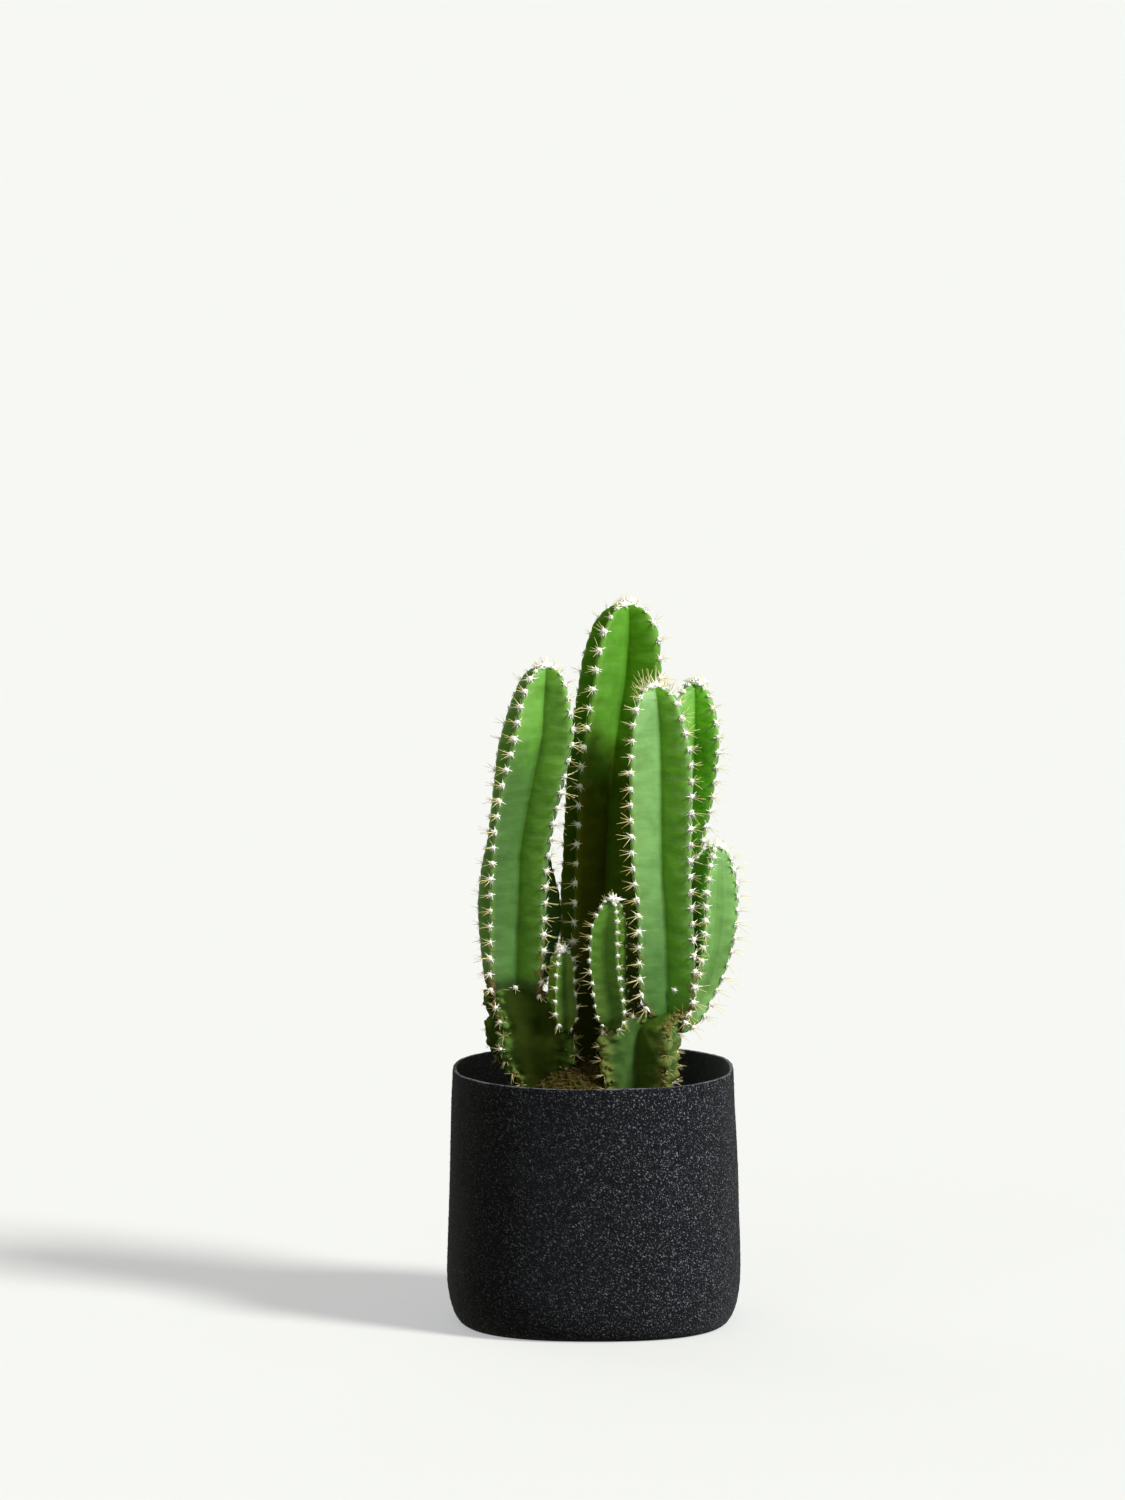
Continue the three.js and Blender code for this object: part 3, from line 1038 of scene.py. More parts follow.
@dataclass
class Stem:
    """One four-ribbed stem, with its skin and the seats of its tufts.

    Each share of flank, bulge_shares and rear_shares stands for one point between a crest and the valley
    beside it, the crest's first.

    Attributes:
        name: its name.
        skin: its finish.
        turn: how far its ribs are turned, in degrees.
        pitch: length along a rib between its tufts, in millimetres, halved by the rib beside it.
        path: its middle line, as StemLine takes it.
        habit: how it grows.
        sides: points on each ring.
        rounding: how many times its skin is subdivided.
        notch: how deep the notches between tufts are, as a share of the usual depth.
        plume: whether a plume of long spines stands on its tip.
        scars: x and z of single tufts on its face, in millimetres.
        flank: how far out each point stands, as a share of the rib's radius.
        bulge_shares: how much of the bulge between tufts each point has.
        rear_shares: how much of a longer rear rib each point has.
        piece: its skin, once it is built.
        seats: the places of its tufts, once they are found.
    """

    FOOT_MARGIN = 0.8
    CROWN_PITCHES = 2.2
    FULL_BULGE_RIB = 6.0
    CREST_SHARE = 0.96
    VALLEY_MARGIN = 0.035
    SHORTEST_AGED = 60.0
    PROBE_START = 8 * MM
    PROBE_LENGTH = 16 * MM
    REAR_VIGOUR = 0.7
    SCAR_VIGOUR = 0.75

    name: str
    skin: StemSkin
    turn: float
    pitch: float
    path: tuple[PathRow, ...]
    habit: Habit = Habit.TALL
    sides: int = 40
    rounding: int = 2
    notch: float = 1.0
    plume: bool = False
    scars: tuple[tuple[float, float], ...] = ()
    flank: tuple[float, ...] = (1.06, 0.85, 0.66, 0.54, 0.455, 0.385)
    bulge_shares: tuple[float, ...] = (1.0, 0.66, 0.36, 0.14, 0.0, 0.0)
    rear_shares: tuple[float, ...] = (1.0, 1.0, 0.85, 0.6, 0.3, 0.0)
    piece: bpy.types.Object | None = None
    seats: list[Seat] = field(default_factory=list)

    def rungs(self, line: StemLine) -> list[float]:
        """Lengths of the rings, two to each step between tufts, closer together at the crown.

        Args:
            line: the stem's middle line.

        Returns:
            The lengths along the ribs, from the foot up.
        """
        lengths = [line.length]
        while lengths[-1] > self.FOOT_MARGIN:
            below_tip = line.length - lengths[-1]
            share = min(below_tip / (self.CROWN_PITCHES * self.pitch), 1.0)
            step = 0.5 * self.pitch * (0.55 + 0.45 * share * share * (3 - 2 * share))
            lengths.append(lengths[-1] - step)
        lengths[-1] = 0.0
        if lengths[-2] < 0.25 * self.pitch:
            del lengths[-2]
        return lengths[::-1]

    def rib_of(self, bearing: float, turn: float) -> tuple[int, int]:
        """The rib that a bearing belongs to, and how many points off its crest it lies."""
        off = (bearing - turn) % 360.0
        return int(off // 90.0) % 4, round(abs(off % 90.0 - 45.0) * self.sides / 360.0)

    def stretch(self, rib: int, off: int, rung: int, part: Slice) -> float:
        """How far out a point stands, as a share of its place on a plain star.

        Args:
            rib: the rib it belongs to.
            off: how many points off the crest it lies.
            rung: the ring's number.
            part: the stem at that ring.

        Returns:
            The share: less at a tuft, more between tufts and on a longer rear rib.
        """
        out = -1.0 if (rung + rib) % 2 == 0 else 1.0
        limit = min(1.0, part.rib / (self.FULL_BULGE_RIB * self.notch)) if rung else 0.0
        bulge = self.bulge_shares[off] * limit * out * self.notch / part.rib
        rear = (part.rear - 1.0) * self.rear_shares[off] if rib < 2 else 0.0
        return 1.0 + bulge + rear

    def change(self, bearing: float, rung: int, part: Slice, below: Slice) -> float:
        """How far a point moves in or out, against what the ring below left.

        Args:
            bearing: the point's direction, in degrees.
            rung: the ring's number.
            part: the stem at that ring.
            below: the stem at the ring below.

        Returns:
            The factor.
        """
        at = self.rib_of(bearing, part.turn)
        return self.stretch(*at, rung, part) / self.stretch(*at, rung - 1, below)

    def raise_ring(self, wall: RingWall, rung: int, part: Slice, below: Slice) -> None:
        """Raises the wall by one ring and shapes its ribs.

        Args:
            wall: the wall.
            rung: the new ring's number.
            part: the stem at that ring.
            below: the stem at the ring below.
        """
        wall.raise_to(part.middle * MM, part.rib / below.rib)
        wall.twist(part.turn - below.turn)
        wall.reshape(lambda bearing, _: self.change(bearing, rung, part, below))

    def build_skin(self) -> bpy.types.Object:
        """Raises the stem ring by ring, then rounds it and gives it its soft unevenness."""
        line = StemLine(self.path, self.turn)
        lengths = self.rungs(line)
        last = line.at(0.0)
        wall = RingWall(f"{self.name}_skin", self.sides, last.middle * MM, last.rib * MM, last.turn)
        wall.reshape(lambda bearing, _: self.flank[self.rib_of(bearing, last.turn)[1]])
        wall.reshape(lambda bearing, _: self.stretch(*self.rib_of(bearing, last.turn), 0, last))
        for rung, length in enumerate(lengths[1:], start=1):
            part = line.at(length)
            self.raise_ring(wall, rung, part, last)
            last = part
        bpy.ops.mesh.inset(thickness=0.3 * last.rib * MM, depth=0.0)
        bpy.ops.mesh.merge(type="CENTER")
        piece = wall.finish()
        Bench.subdivide(piece, self.rounding)
        self.record(piece, line)
        Bench.roughen(piece, size=11 * MM, depth=0.9 * MM)
        if self.habit is Habit.WOODY:
            Bench.weigh(piece, "ribs", np.clip(self.read(piece, line)["crest"] * 1.4 - 0.25, 0.0, 1.0))
            Bench.roughen(piece, size=6 * MM, depth=6.5 * MM, group="ribs")
            Bench.roughen(piece, size=2.6 * MM, depth=2.6 * MM, group="ribs", layers=3)
        Bench.smooth(piece)
        self.piece = piece
        self.find_seats(line, lengths)
        return piece

    def read(self, piece: bpy.types.Object, line: StemLine) -> dict[str, np.ndarray]:
        """Where each point of the skin lies on the stem.

        Args:
            piece: the stem's skin.
            line: its middle line.

        Returns:
            The rib of each point, its share of the way out to the crest and its length along the stem.
        """
        places = Bench.points(piece) / MM
        around = line.across(places[:, 2])
        x = places[:, 0] - around["x"]
        y = places[:, 1] - around["y"]
        rib = np.floor(((np.degrees(np.arctan2(y, x)) - around["turn"]) % 360.0) / 90.0)
        full = np.maximum(around["rib"] * np.where(rib < 2, around["rear"], 1.0), 1.0)
        valley = self.flank[-1] + self.VALLEY_MARGIN
        crest = np.clip((np.hypot(x, y) / full - valley) / (self.CREST_SHARE - valley), 0.0, 1.0)
        return {"rib": rib, "crest": crest, "length": around["length"]}

    def record(self, piece: bpy.types.Object, line: StemLine) -> None:
        """Lets the skin carry its crests, the bands between tufts, its age and the ways that it faces.

        Args:
            piece: the stem's skin.
            line: its middle line.
        """
        at = self.read(piece, line)
        Bench.carry(piece, "crest", at["crest"])
        phase = (line.length - at["length"]) / self.pitch + 0.5 * (at["rib"] % 2)
        Bench.carry(piece, "band", 0.5 + 0.5 * np.cos(2 * math.pi * phase))
        youth = at["length"] / max(line.length, self.SHORTEST_AGED)
        Bench.carry(piece, "age", np.clip(1.0 - youth, 0.0, 1.0) ** 1.5)
        # lit_side is the normal's x. The skins use it to paint the flanks that face the key light as lit and
        # the rest as shaded.
        for name, way in zip(("lit_side", "rearward", "upward"), Bench.normals(piece).T):
            Bench.carry(piece, name, way)

    def find_seats(self, line: StemLine, lengths: Sequence[float]) -> None:
        """Finds the place of every tuft on the finished skin.

        Args:
            line: the stem's middle line.
            lengths: the lengths of its rings.
        """
        skin = BVHTree.FromObject(self.piece, bpy.context.evaluated_depsgraph_get())
        for rung, length in enumerate(lengths[1:], start=1):
            part = line.at(length)
            below = line.at(max(length - 1.0, 0.0))
            above = line.at(min(length + 1.0, line.length))
            for rib in range(rung % 2, 4, 2):
                bearing = math.radians(part.bearing(rib))
                away = Vector((math.cos(bearing), math.sin(bearing), 0.0))
                rise = above.middle + away * above.reach(rib) - below.middle - away * below.reach(rib)
                up = rise.normalized()
                out = (away - up * away.dot(up)).normalized()
                crest = (part.middle + away * part.reach(rib)) * MM
                hit, normal, _, _ = skin.ray_cast(crest + out * self.PROBE_START, -out, self.PROBE_LENGTH)
                if hit is not None:
                    way = (out + 0.35 * normal).normalized()
                    vigour = self.REAR_VIGOUR if rib < 2 else 1.0
                    self.seats.append(Seat(hit, way, up, length / line.length, vigour))
        if self.habit is not Habit.WOODY:
            top = line.at(line.length).middle * MM
            self.seats.append(Seat(top, Vector((0.0, 0.0, 1.0)), Vector((0.0, 1.0, 0.0)), 1.0))
        for x, z in self.scars:
            hit, normal, _, _ = skin.ray_cast(Vector((x, -100.0, z)) * MM, Vector((0.0, 1.0, 0.0)))
            if hit is not None:
                self.seats.append(Seat(hit, normal, Vector((0.0, 0.0, 1.0)), 0.5, self.SCAR_VIGOUR))


class TuftModels:
    """Small models of wool, spines, fibres and crumbs, each made once and copied to its places."""

    WOOL_CUSHION = (1.5, 1.3, 1.0)
    WOOL_DROOP = 0.4
    WOOL_REACH = 2.8
    SPINE_TIP = 0.45

    def __init__(self, seed: int) -> None:
        """Starts with a fixed run of chance.

        Args:
            seed: the seed.
        """
        self.chance = random.Random(seed)
        self.along: dict[str, np.ndarray] = {}

    def hair(self, foot: Vector, way: Vector, length: float, thickness: float, blunt: float = 0.0) -> None:
        """Adds one tapered hair to the open model.

        Args:
            foot: where it starts, in millimetres.
            way: which way it points.
            length: its length, in millimetres.
            thickness: its radius at the foot, in millimetres.
            blunt: radius of its tip as a share of that at the foot.
        """
        way = way.normalized()
        bpy.ops.mesh.primitive_cone_add(
            vertices=3,
            radius1=thickness * MM,
            radius2=blunt * thickness * MM,
            depth=length * MM,
            location=(foot + way * length / 2) * MM,
            rotation=way.to_track_quat("Z", "Y").to_euler(),
        )

    def way(self, tilt: tuple[float, float], sides: tuple[float, float] = (0.0, 360.0)) -> Vector:
        """A chance direction.

        Args:
            tilt: least and most tilt from straight out, in degrees.
            sides: least and most turn about the outward way, from the side, in degrees.

        Returns:
            The direction.
        """
        lean = math.radians(self.chance.uniform(*tilt))
        turn = math.radians(self.chance.uniform(*sides))
        return Vector((math.sin(lean) * math.cos(turn), math.sin(lean) * math.sin(turn), math.cos(lean)))

    def close(self, model: bpy.types.Object, reach: float) -> bpy.types.Object:
        """Finishes a model and notes how far each of its points lies from its foot.

        Args:
            model: the model.
            reach: the distance that counts as the tip, in millimetres.

        Returns:
            The model.
        """
        Bench.close()
        Bench.smooth(model)
        distance = np.linalg.norm(Bench.points(model), axis=1) / (reach * MM)
        self.along[model.name] = np.clip(distance, 0.0, 1.0)
        return model

    def wool(
        self,
        name: str,
        strands: int,
        tilt: tuple[float, float],
        length: tuple[float, float],
    ) -> bpy.types.Object:
        """A tuft of white wool: a small cushion with short drooping strands.

        Args:
            name: the model's name.
            strands: how many strands it has.
            tilt: least and most tilt of a strand from straight out, in degrees.
            length: least and most length of a strand, in millimetres.

        Returns:
            The model.
        """
        Bench.clear()
        bpy.ops.mesh.primitive_ico_sphere_add(subdivisions=1, radius=1.0 * MM)
        model = bpy.context.object
        model.name = name
        Bench.edit(model)
        bpy.ops.transform.resize(value=self.WOOL_CUSHION, center_override=(0, 0, 0))
        bpy.ops.transform.translate(value=(0, 0, 0.3 * MM))
        bpy.ops.transform.vertex_random(offset=0.3 * MM, seed=self.chance.randrange(1000))
        for strand in range(strands):
            turn = 360.0 * (strand + self.chance.uniform(-0.3, 0.3)) / strands
            way = self.way(tilt, (turn, turn))
            way.y -= self.WOOL_DROOP
            foot = way.normalized() * 0.5
            self.hair(foot, way, self.chance.uniform(*length), thickness=self.chance.uniform(0.32, 0.5))
        return self.close(model, self.WOOL_REACH)

    def spines(
        self,
        name: str,
        count: int,
        tilt: tuple[float, float],
        length: tuple[float, float],
        thickness: float,
    ) -> bpy.types.Object:
        """A fan of straight spines.

        Args:
            name: the model's name.
            count: how many spines it has.
            tilt: least and most tilt of a spine from straight out, in degrees.
            length: least and most length, in millimetres.
            thickness: radius at the foot, in millimetres.

        Returns:
            The model.
        """
        Bench.clear()
        bpy.ops.mesh.primitive_cone_add(
            vertices=3,
            radius1=thickness * MM,
            radius2=self.SPINE_TIP * thickness * MM,
            depth=length[1] * MM,
        )
        model = bpy.context.object
        model.name = name
        Bench.edit(model)
        bpy.ops.transform.translate(value=(0, 0, 0.5 * length[1] * MM))
        for spine in range(count - 1):
            turn = 360.0 * (spine + self.chance.uniform(-0.35, 0.35)) / max(count - 1, 1)
            way = self.way(tilt, (turn, turn))
            self.hair(Vector((0, 0, 0)), way, self.chance.uniform(*length), thickness, self.SPINE_TIP)
        return self.close(model, length[1])

    def lump(self, name: str, radius: float, spread: float) -> bpy.types.Object:
        """An uneven crumb.

        Args:
            name: the model's name.
            radius: its radius, in millimetres.
            spread: how uneven it is, in millimetres.

        Returns:
            The model.
        """
        Bench.clear()
        bpy.ops.mesh.primitive_ico_sphere_add(subdivisions=1, radius=radius * MM)
        model = bpy.context.object
        model.name = name
        Bench.edit(model)
        stretch = tuple(self.chance.uniform(0.7, 1.3) for _ in range(3))
        bpy.ops.transform.resize(value=stretch, center_override=(0, 0, 0))
        bpy.ops.transform.vertex_random(offset=spread * MM, seed=self.chance.randrange(1000))
        return self.close(model, radius)

    def fibre(self, name: str, length: float, thickness: float, bend: float) -> bpy.types.Object:
        """A fibre that lies along X, thin at both ends and bent once.

        Args:
            name: the model's name.
            length: its length, in millimetres.
            thickness: its radius in the middle, in millimetres.
            bend: how far its middle stands off, in millimetres.

        Returns:
            The model.
        """
        Bench.clear()
        on_its_side = (0, math.pi / 2, 0)
        bpy.ops.mesh.primitive_uv_sphere_add(segments=3, ring_count=2, radius=1.0 * MM, rotation=on_its_side)
        model = bpy.context.object
        model.name = name
        bpy.ops.object.transform_apply(location=True, rotation=True, scale=True)
        Bench.edit(model)
        bpy.ops.transform.resize(value=(length / 2, thickness, thickness), center_override=(0, 0, 0))
        Bench.choose(model, lambda vert: abs(vert.co.x) < 0.2 * length * MM)
        bpy.ops.transform.translate(value=(0, bend * MM, 0))
        return self.close(model, length / 2)

    def plant(self, name: str, seats: Iterable[tuple[bpy.types.Object, Matrix]]) -> bpy.types.Object:
        """Copies models to their places, all in one piece.

        Args:
            name: the piece's name.
            seats: each copy's model and placing matrix.

        Returns:
            The piece.
        """
        gathered = bmesh.new()
        along = []
        lots = []
        for model, matrix in seats:
            copy = model.data.copy()
            copy.transform(matrix)
            gathered.from_mesh(copy)
            bpy.data.meshes.remove(copy)
            shares = self.along[model.name]
            along.append(shares)
            lots.append(np.full(len(shares), self.chance.random()))
        mesh = bpy.data.meshes.new(name)
        gathered.to_mesh(mesh)
        gathered.free()
        piece = bpy.data.objects.new(name, mesh)
        bpy.context.scene.collection.objects.link(piece)
        Bench.carry(piece, "along", np.concatenate(along))
        Bench.carry(piece, "lot", np.concatenate(lots))
        return piece

    @staticmethod
    def put_away(models: Iterable[bpy.types.Object]) -> None:
        """Removes models once their copies are made."""
        for model in models:
            bpy.data.meshes.remove(model.data)


# In every skin, lit_side and shaded_side are painted light and shade, set stem by stem.
FRESH_GREEN = StemSkin(
    name="fresh_stem_skin",
    lit_side=(0.18, 0.385, 0.105, 1.0),
    shaded_side=(0.13, 0.395, 0.016, 1.0),
    ridge=(0.29, 0.49, 0.16, 1.0),
    low_glaze=(0.42, 0.5, 0.36, 1.0),
    low_reach=(0.3, 0.8),
    low_shade=0.4,
)
BRANCH_GREEN = StemSkin(
    name="branch_stem_skin",
    lit_side=(0.18, 0.385, 0.1, 1.0),
    shaded_side=(0.13, 0.395, 0.016, 1.0),
    ridge=(0.29, 0.49, 0.16, 1.0),
    low_glaze=(0.9, 0.85, 0.8, 1.0),
    low_reach=(0.3, 0.8),
)
LEAF_GREEN = StemSkin(
    name="leaf_green_stem_skin",
    lit_side=(0.138, 0.355, 0.042, 1.0),
    shaded_side=(0.085, 0.25, 0.01, 1.0),
    ridge=(0.24, 0.45, 0.1, 1.0),
    low_glaze=(0.52, 0.5, 0.78, 1.0),
    low_reach=(0.07, 0.24),
    low_shade=0.0,
    foot_shade=(0.26, 0.25, 0.14, 1.0),
    foot_reach=(0.865, 0.935),
)
# Painted shade: its lower part is glazed dark, most on its front, where the other stems shade it.
DEEP_GREEN = StemSkin(
    name="deep_green_stem_skin",
    lit_side=(0.1, 0.292, 0.027, 1.0),
    shaded_side=(0.07, 0.225, 0.009, 1.0),
    ridge=(0.19, 0.38, 0.07, 1.0),
    low_glaze=(0.6, 0.27, 0.12, 1.0),
    low_reach=(0.045, 0.28),
    low_shade=0.76,
    low_behind=0.3,
    gloss=0.0,
)
VIVID_GREEN = StemSkin(
    name="vivid_stem_skin",
    lit_side=(0.165, 0.42, 0.045, 1.0),
    shaded_side=(0.15, 0.52, 0.012, 1.0),
    ridge=(0.24, 0.45, 0.1, 1.0),
    low_glaze=(0.7, 0.6, 0.6, 1.0),
)
# Painted shade: a darker skin for the small middle stem, which stands in the other stems' shade.
SHADED_GREEN = StemSkin(
    name="shaded_stem_skin",
    lit_side=(0.077, 0.165, 0.013, 1.0),
    shaded_side=(0.08, 0.225, 0.011, 1.0),
    ridge=(0.16, 0.3, 0.05, 1.0),
    low_glaze=(0.7, 0.65, 0.7, 1.0),
    foot_shade=(0.4, 0.4, 0.35, 1.0),
)
# Painted light: the small left stem's shaded flank is painted lighter than its lit one.
FILL_PAINTED_GREEN = StemSkin(
    name="fill_painted_stem_skin",
    lit_side=(0.08, 0.19, 0.018, 1.0),
    shaded_side=(0.19, 0.36, 0.016, 1.0),
    ridge=(0.2, 0.36, 0.07, 1.0),
    low_glaze=(0.75, 0.68, 0.7, 1.0),
    foot_shade=(0.5, 0.5, 0.4, 1.0),
)
# Painted shade: a much darker copy of the woody skin, for the left base, which stands in shade.
SHADED_WOODY = StemSkin(
    name="shaded_woody_stem_skin",
    lit_side=(0.0205, 0.032, 0.0045, 1.0),
    shaded_side=(0.036, 0.06, 0.007, 1.0),
    ridge=(0.1, 0.19, 0.036, 1.0),
    low_glaze=(0.8, 0.7, 0.6, 1.0),
    pale_share=0.05,
    ridge_share=0.8,
    ridge_reach=(0.55, 0.95),
    ridge_patches=0.85,
    cork_reach=0.22,
    gloss=0.0,
    slot="old_stem",
)
WOODY_GREEN = StemSkin(
    name="woody_stem_skin",
    lit_side=(0.062, 0.134, 0.028, 1.0),
    shaded_side=(0.05, 0.1, 0.008, 1.0),
    ridge=(0.19, 0.235, 0.055, 1.0),
    low_glaze=(0.85, 0.85, 0.75, 1.0),
    pale_share=0.15,
    ridge_share=0.75,
    ridge_reach=(0.55, 0.95),
    ridge_patches=0.5,
    cork_reach=0.35,
    lid_cork=0.5,
    gloss=0.12,
    slot="old_stem",
)


SHALLOW_FLANK = (1.06, 0.87, 0.72, 0.63, 0.58, 0.56)


class Tuft(Enum):
    """The sorts of tuft models."""

    WOOL = "wool"
    SPINES = "spines"
    CROWN_WOOL = "crown wool"
    CROWN_SPINES = "crown spines"
    PLUME = "plume"
    DRY = "dry spines"
    BARK = "bark"


@dataclass
class Clump:
    """All the stems, with their wool and spines.

    Sizes are shares of the models' sizes, and SPINY says how likely a tuft is to have spines.
    """

    SPINY = {Habit.YOUNG: 0.6, Habit.TALL: 1.0, Habit.WOODY: 1.0}
    CROWN_START = 0.955
    OLD_WOOL_SHARE = 0.2
    TIP_WOOL = 1.7
    CROWN_WOOL = 0.95
    RIB_WOOL = 1.08
    YOUNG_SIZE = 0.66
    WOODY_SIZE = 0.8

    stems: list[Stem] = field(default_factory=lambda: [
        Stem("left_base_stem", SHADED_WOODY, turn=10, pitch=6.6, path=(
            (-23.5, -6, 82, 14), (-23.6, -6, 102, 15), (-24.4, -6, 110.5, 16), (-25.9, -5.5, 115, 19.4),
            (-27.4, -5, 120.5, 22.6), (-27.8, -5, 127, 24), (-28.8, -5, 134.5, 20.6),
            (-30.4, -5, 140.5, 21.6), (-32.8, -4.5, 144.6, 18.6), (-34.3, -4, 147.4, 15.8),
            (-34.5, -4, 149.4, 11), (-34.5, -4, 150.4, 6),
        ), habit=Habit.WOODY, notch=1.4, flank=(1.05, 0.88, 0.74, 0.65, 0.6, 0.58)),
        Stem("right_base_stem", WOODY_GREEN, turn=-10, pitch=6.6, path=(
            (20, -13, 82, 13), (20.2, -14, 104, 18.5), (20.3, -14, 118, 20.8), (20.3, -14, 129, 21.5),
            (21.2, -14, 134.5, 20.8), (26, -14, 138.2, 18), (30.6, -14, 140.2, 15), (32.6, -14, 141.6, 11.5),
            (32.8, -14, 142.4, 6),
        ), habit=Habit.WOODY, notch=1.4),
        Stem("left_stem", LEAF_GREEN, turn=10, pitch=7.1, path=(
            (-34.5, -4, 144.9, 13, 2, 1), (-34.6, -4, 147.9, 15.2, 2, 1.1), (-34.6, -4, 152, 16.6, 0, 1.2),
            (-34.1, -4, 160, 17, -1, 1.32), (-33.7, -4, 171, 17.1, -2, 1.46), (-33.5, -4, 181, 17.3, -2, 1.5),
            (-33.5, -4, 192, 17.4, 0, 1.4), (-33.7, -4, 202, 17.5, 2, 1.24), (-33.5, -4, 209, 17.8, 4, 1.1),
            (-33.1, -4, 215.5, 18, 5, 1), (-29.7, -4, 236.2, 19.1, 5.5, 1), (-26.3, -4, 256, 19.2, 11, 1),
            (-24.6, -4, 265, 18.8, 11, 1), (-23.5, -4, 278, 15.3), (-22.6, -4, 286.5, 12), (-22, -4, 291, 8),
            (-21.8, -4, 292.8, 3),
        ), scars=((-34.7, 150.6),)),
        Stem("back_tall_stem", DEEP_GREEN, turn=11, pitch=8.7, path=(
            (2.6, 22, 82, 14), (2.2, 22, 115, 18.3), (2.9, 22, 145, 22.2), (3.2, 22, 166, 22.3),
            (3.5, 22, 187, 21.8), (4.3, 22, 210, 21.5), (6.3, 22, 245, 21.8), (9.2, 22, 268, 21.8),
            (11.6, 22, 283, 21.6), (12.9, 22, 296, 20.3), (13.8, 22, 305.5, 17.8), (14.3, 22, 312, 13.6),
            (14.6, 22, 316, 8.6), (14.7, 22, 317.4, 3),
        )),
        Stem("front_right_stem", FRESH_GREEN, turn=0, pitch=7.1, path=(
            (33, -14, 138.5, 10.5), (33, -14, 141.3, 12.6), (32.8, -14, 145, 15.4), (32.5, -14, 152, 17.1),
            (32.2, -14, 161, 17.6), (31.7, -14, 176, 17.3), (30.9, -14, 192, 17.2), (30, -14, 203, 18),
            (29.6, -14, 222, 18.9), (29.5, -14, 246, 19.3), (29, -14, 261, 18), (28.4, -14, 272, 15.2),
            (27.7, -14, 280, 12), (27.2, -14, 284, 7.6), (27, -14, 285.6, 3),
        ), plume=True, scars=((35.6, 151.4),)),
        Stem("back_right_stem", VIVID_GREEN, turn=0, pitch=6.7, path=(
            (28.5, 13, 82, 7), (29.5, 14, 118, 9), (31, 16, 140, 10.5), (34, 19, 176, 12.4),
            (38.5, 20, 210, 13.4), (42.2, 20, 228, 13.8), (44, 20, 247, 15), (44.4, 20, 260, 15.2),
            (44.6, 20, 269, 13), (44.7, 20, 277, 9.2), (44.8, 20, 281, 5.6), (44.8, 20, 282.4, 2.4),
        )),
        Stem("low_right_stem", BRANCH_GREEN, turn=35, pitch=6.2, path=(
            (38.8, -3, 128.8, 3), (39.8, -2, 131.5, 3.6), (41.8, -0.8, 135, 6.2), (43.8, 2.4, 140.5, 7.4),
            (45.8, 4.8, 147, 8.8), (48, 5.2, 155, 10.2), (50, 4.5, 166, 11.6), (51.4, 4, 180, 12.4),
            (51.8, 4, 191, 12.2), (52.4, 4, 198, 10.8), (53.2, 4, 205.5, 8), (53.9, 4, 210, 4.8),
            (54.1, 4, 211.6, 2.2),
        ), notch=0.8, flank=SHALLOW_FLANK),
        Stem("small_middle_stem", SHADED_GREEN, turn=-20, pitch=5.1, path=(
            (8, -25, 132.5, 3.2, -4, 1), (8, -25, 135.5, 4.4, -4, 1), (8, -25, 138, 7.8, -5, 1),
            (7.9, -25, 141, 8.9, -6, 1), (7.4, -25, 147, 9.1, -8, 1), (6.7, -25, 155, 9.2, -12, 1),
            (6.1, -25, 166, 9.2, -17, 1), (6.6, -25, 179, 8.6), (7.2, -25, 186, 6.6), (7.7, -25, 190.4, 4),
            (7.9, -25, 192, 1.8),
        ), habit=Habit.YOUNG, notch=0.6, flank=SHALLOW_FLANK),
        Stem("small_left_stem", FILL_PAINTED_GREEN, turn=21, pitch=5.8, path=(
            (-12.8, -17, 131, 3.2), (-13.2, -17, 134, 4), (-13.7, -17, 138, 7), (-14.2, -17, 143, 7.7),
            (-14.3, -17, 150, 6.7), (-14.2, -17, 158, 6.3), (-14, -17, 163.5, 5.6), (-13.9, -17, 166.8, 3.8),
            (-13.8, -17, 168.4, 1.6),
        ), habit=Habit.YOUNG, notch=0.5, flank=SHALLOW_FLANK),
    ])
    wool_finish: HairFinish = HairFinish(
        name="white_wool",
        slot="wool",
        foot=(0.95, 0.95, 0.88, 1.0),
        tip=(0.98, 0.98, 0.95, 1.0),
        aged=(0.9, 0.87, 0.7, 1.0),
        roughness=0.9,
    )
    spine_finish: HairFinish = HairFinish(
        name="straw_spines",
        slot="spine",
        foot=(0.93, 0.88, 0.55, 1.0),
        tip=(0.9, 0.8, 0.36, 1.0),
        aged=(0.8, 0.62, 0.2, 1.0),
        roughness=0.45,
        # Painted glow that keeps the spines bright in shade.
        glow=0.1,
    )
    dry_finish: HairFinish = HairFinish(
        name="dry_spines",
        slot="spine",
        foot=(0.6, 0.5, 0.22, 1.0),
        tip=(0.85, 0.76, 0.44, 1.0),
        aged=(0.4, 0.27, 0.08, 1.0),
        roughness=0.6,
    )
    bark_finish: HairFinish = HairFinish(
        name="knobby_bark",
        slot="old_stem",
        foot=(0.06, 0.1, 0.014, 1.0),
        tip=(0.12, 0.13, 0.026, 1.0),
        aged=(0.19, 0.115, 0.022, 1.0),
        roughness=0.85,
    )

    def build(self) -> None:
        """Builds every stem, then plants their tufts."""
        models = TuftModels(seed=11)
        tufts = self.make_tufts(models)
        for stem in self.stems:
            skin = stem.build_skin()
            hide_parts(stem.name)
            Bench.dress(skin, self.material_of(stem.skin), stem.skin.slot)
        for stem in self.stems:
            self.plant_tufts(models, tufts, stem)
        for kinds in tufts.values():
            models.put_away(kinds)

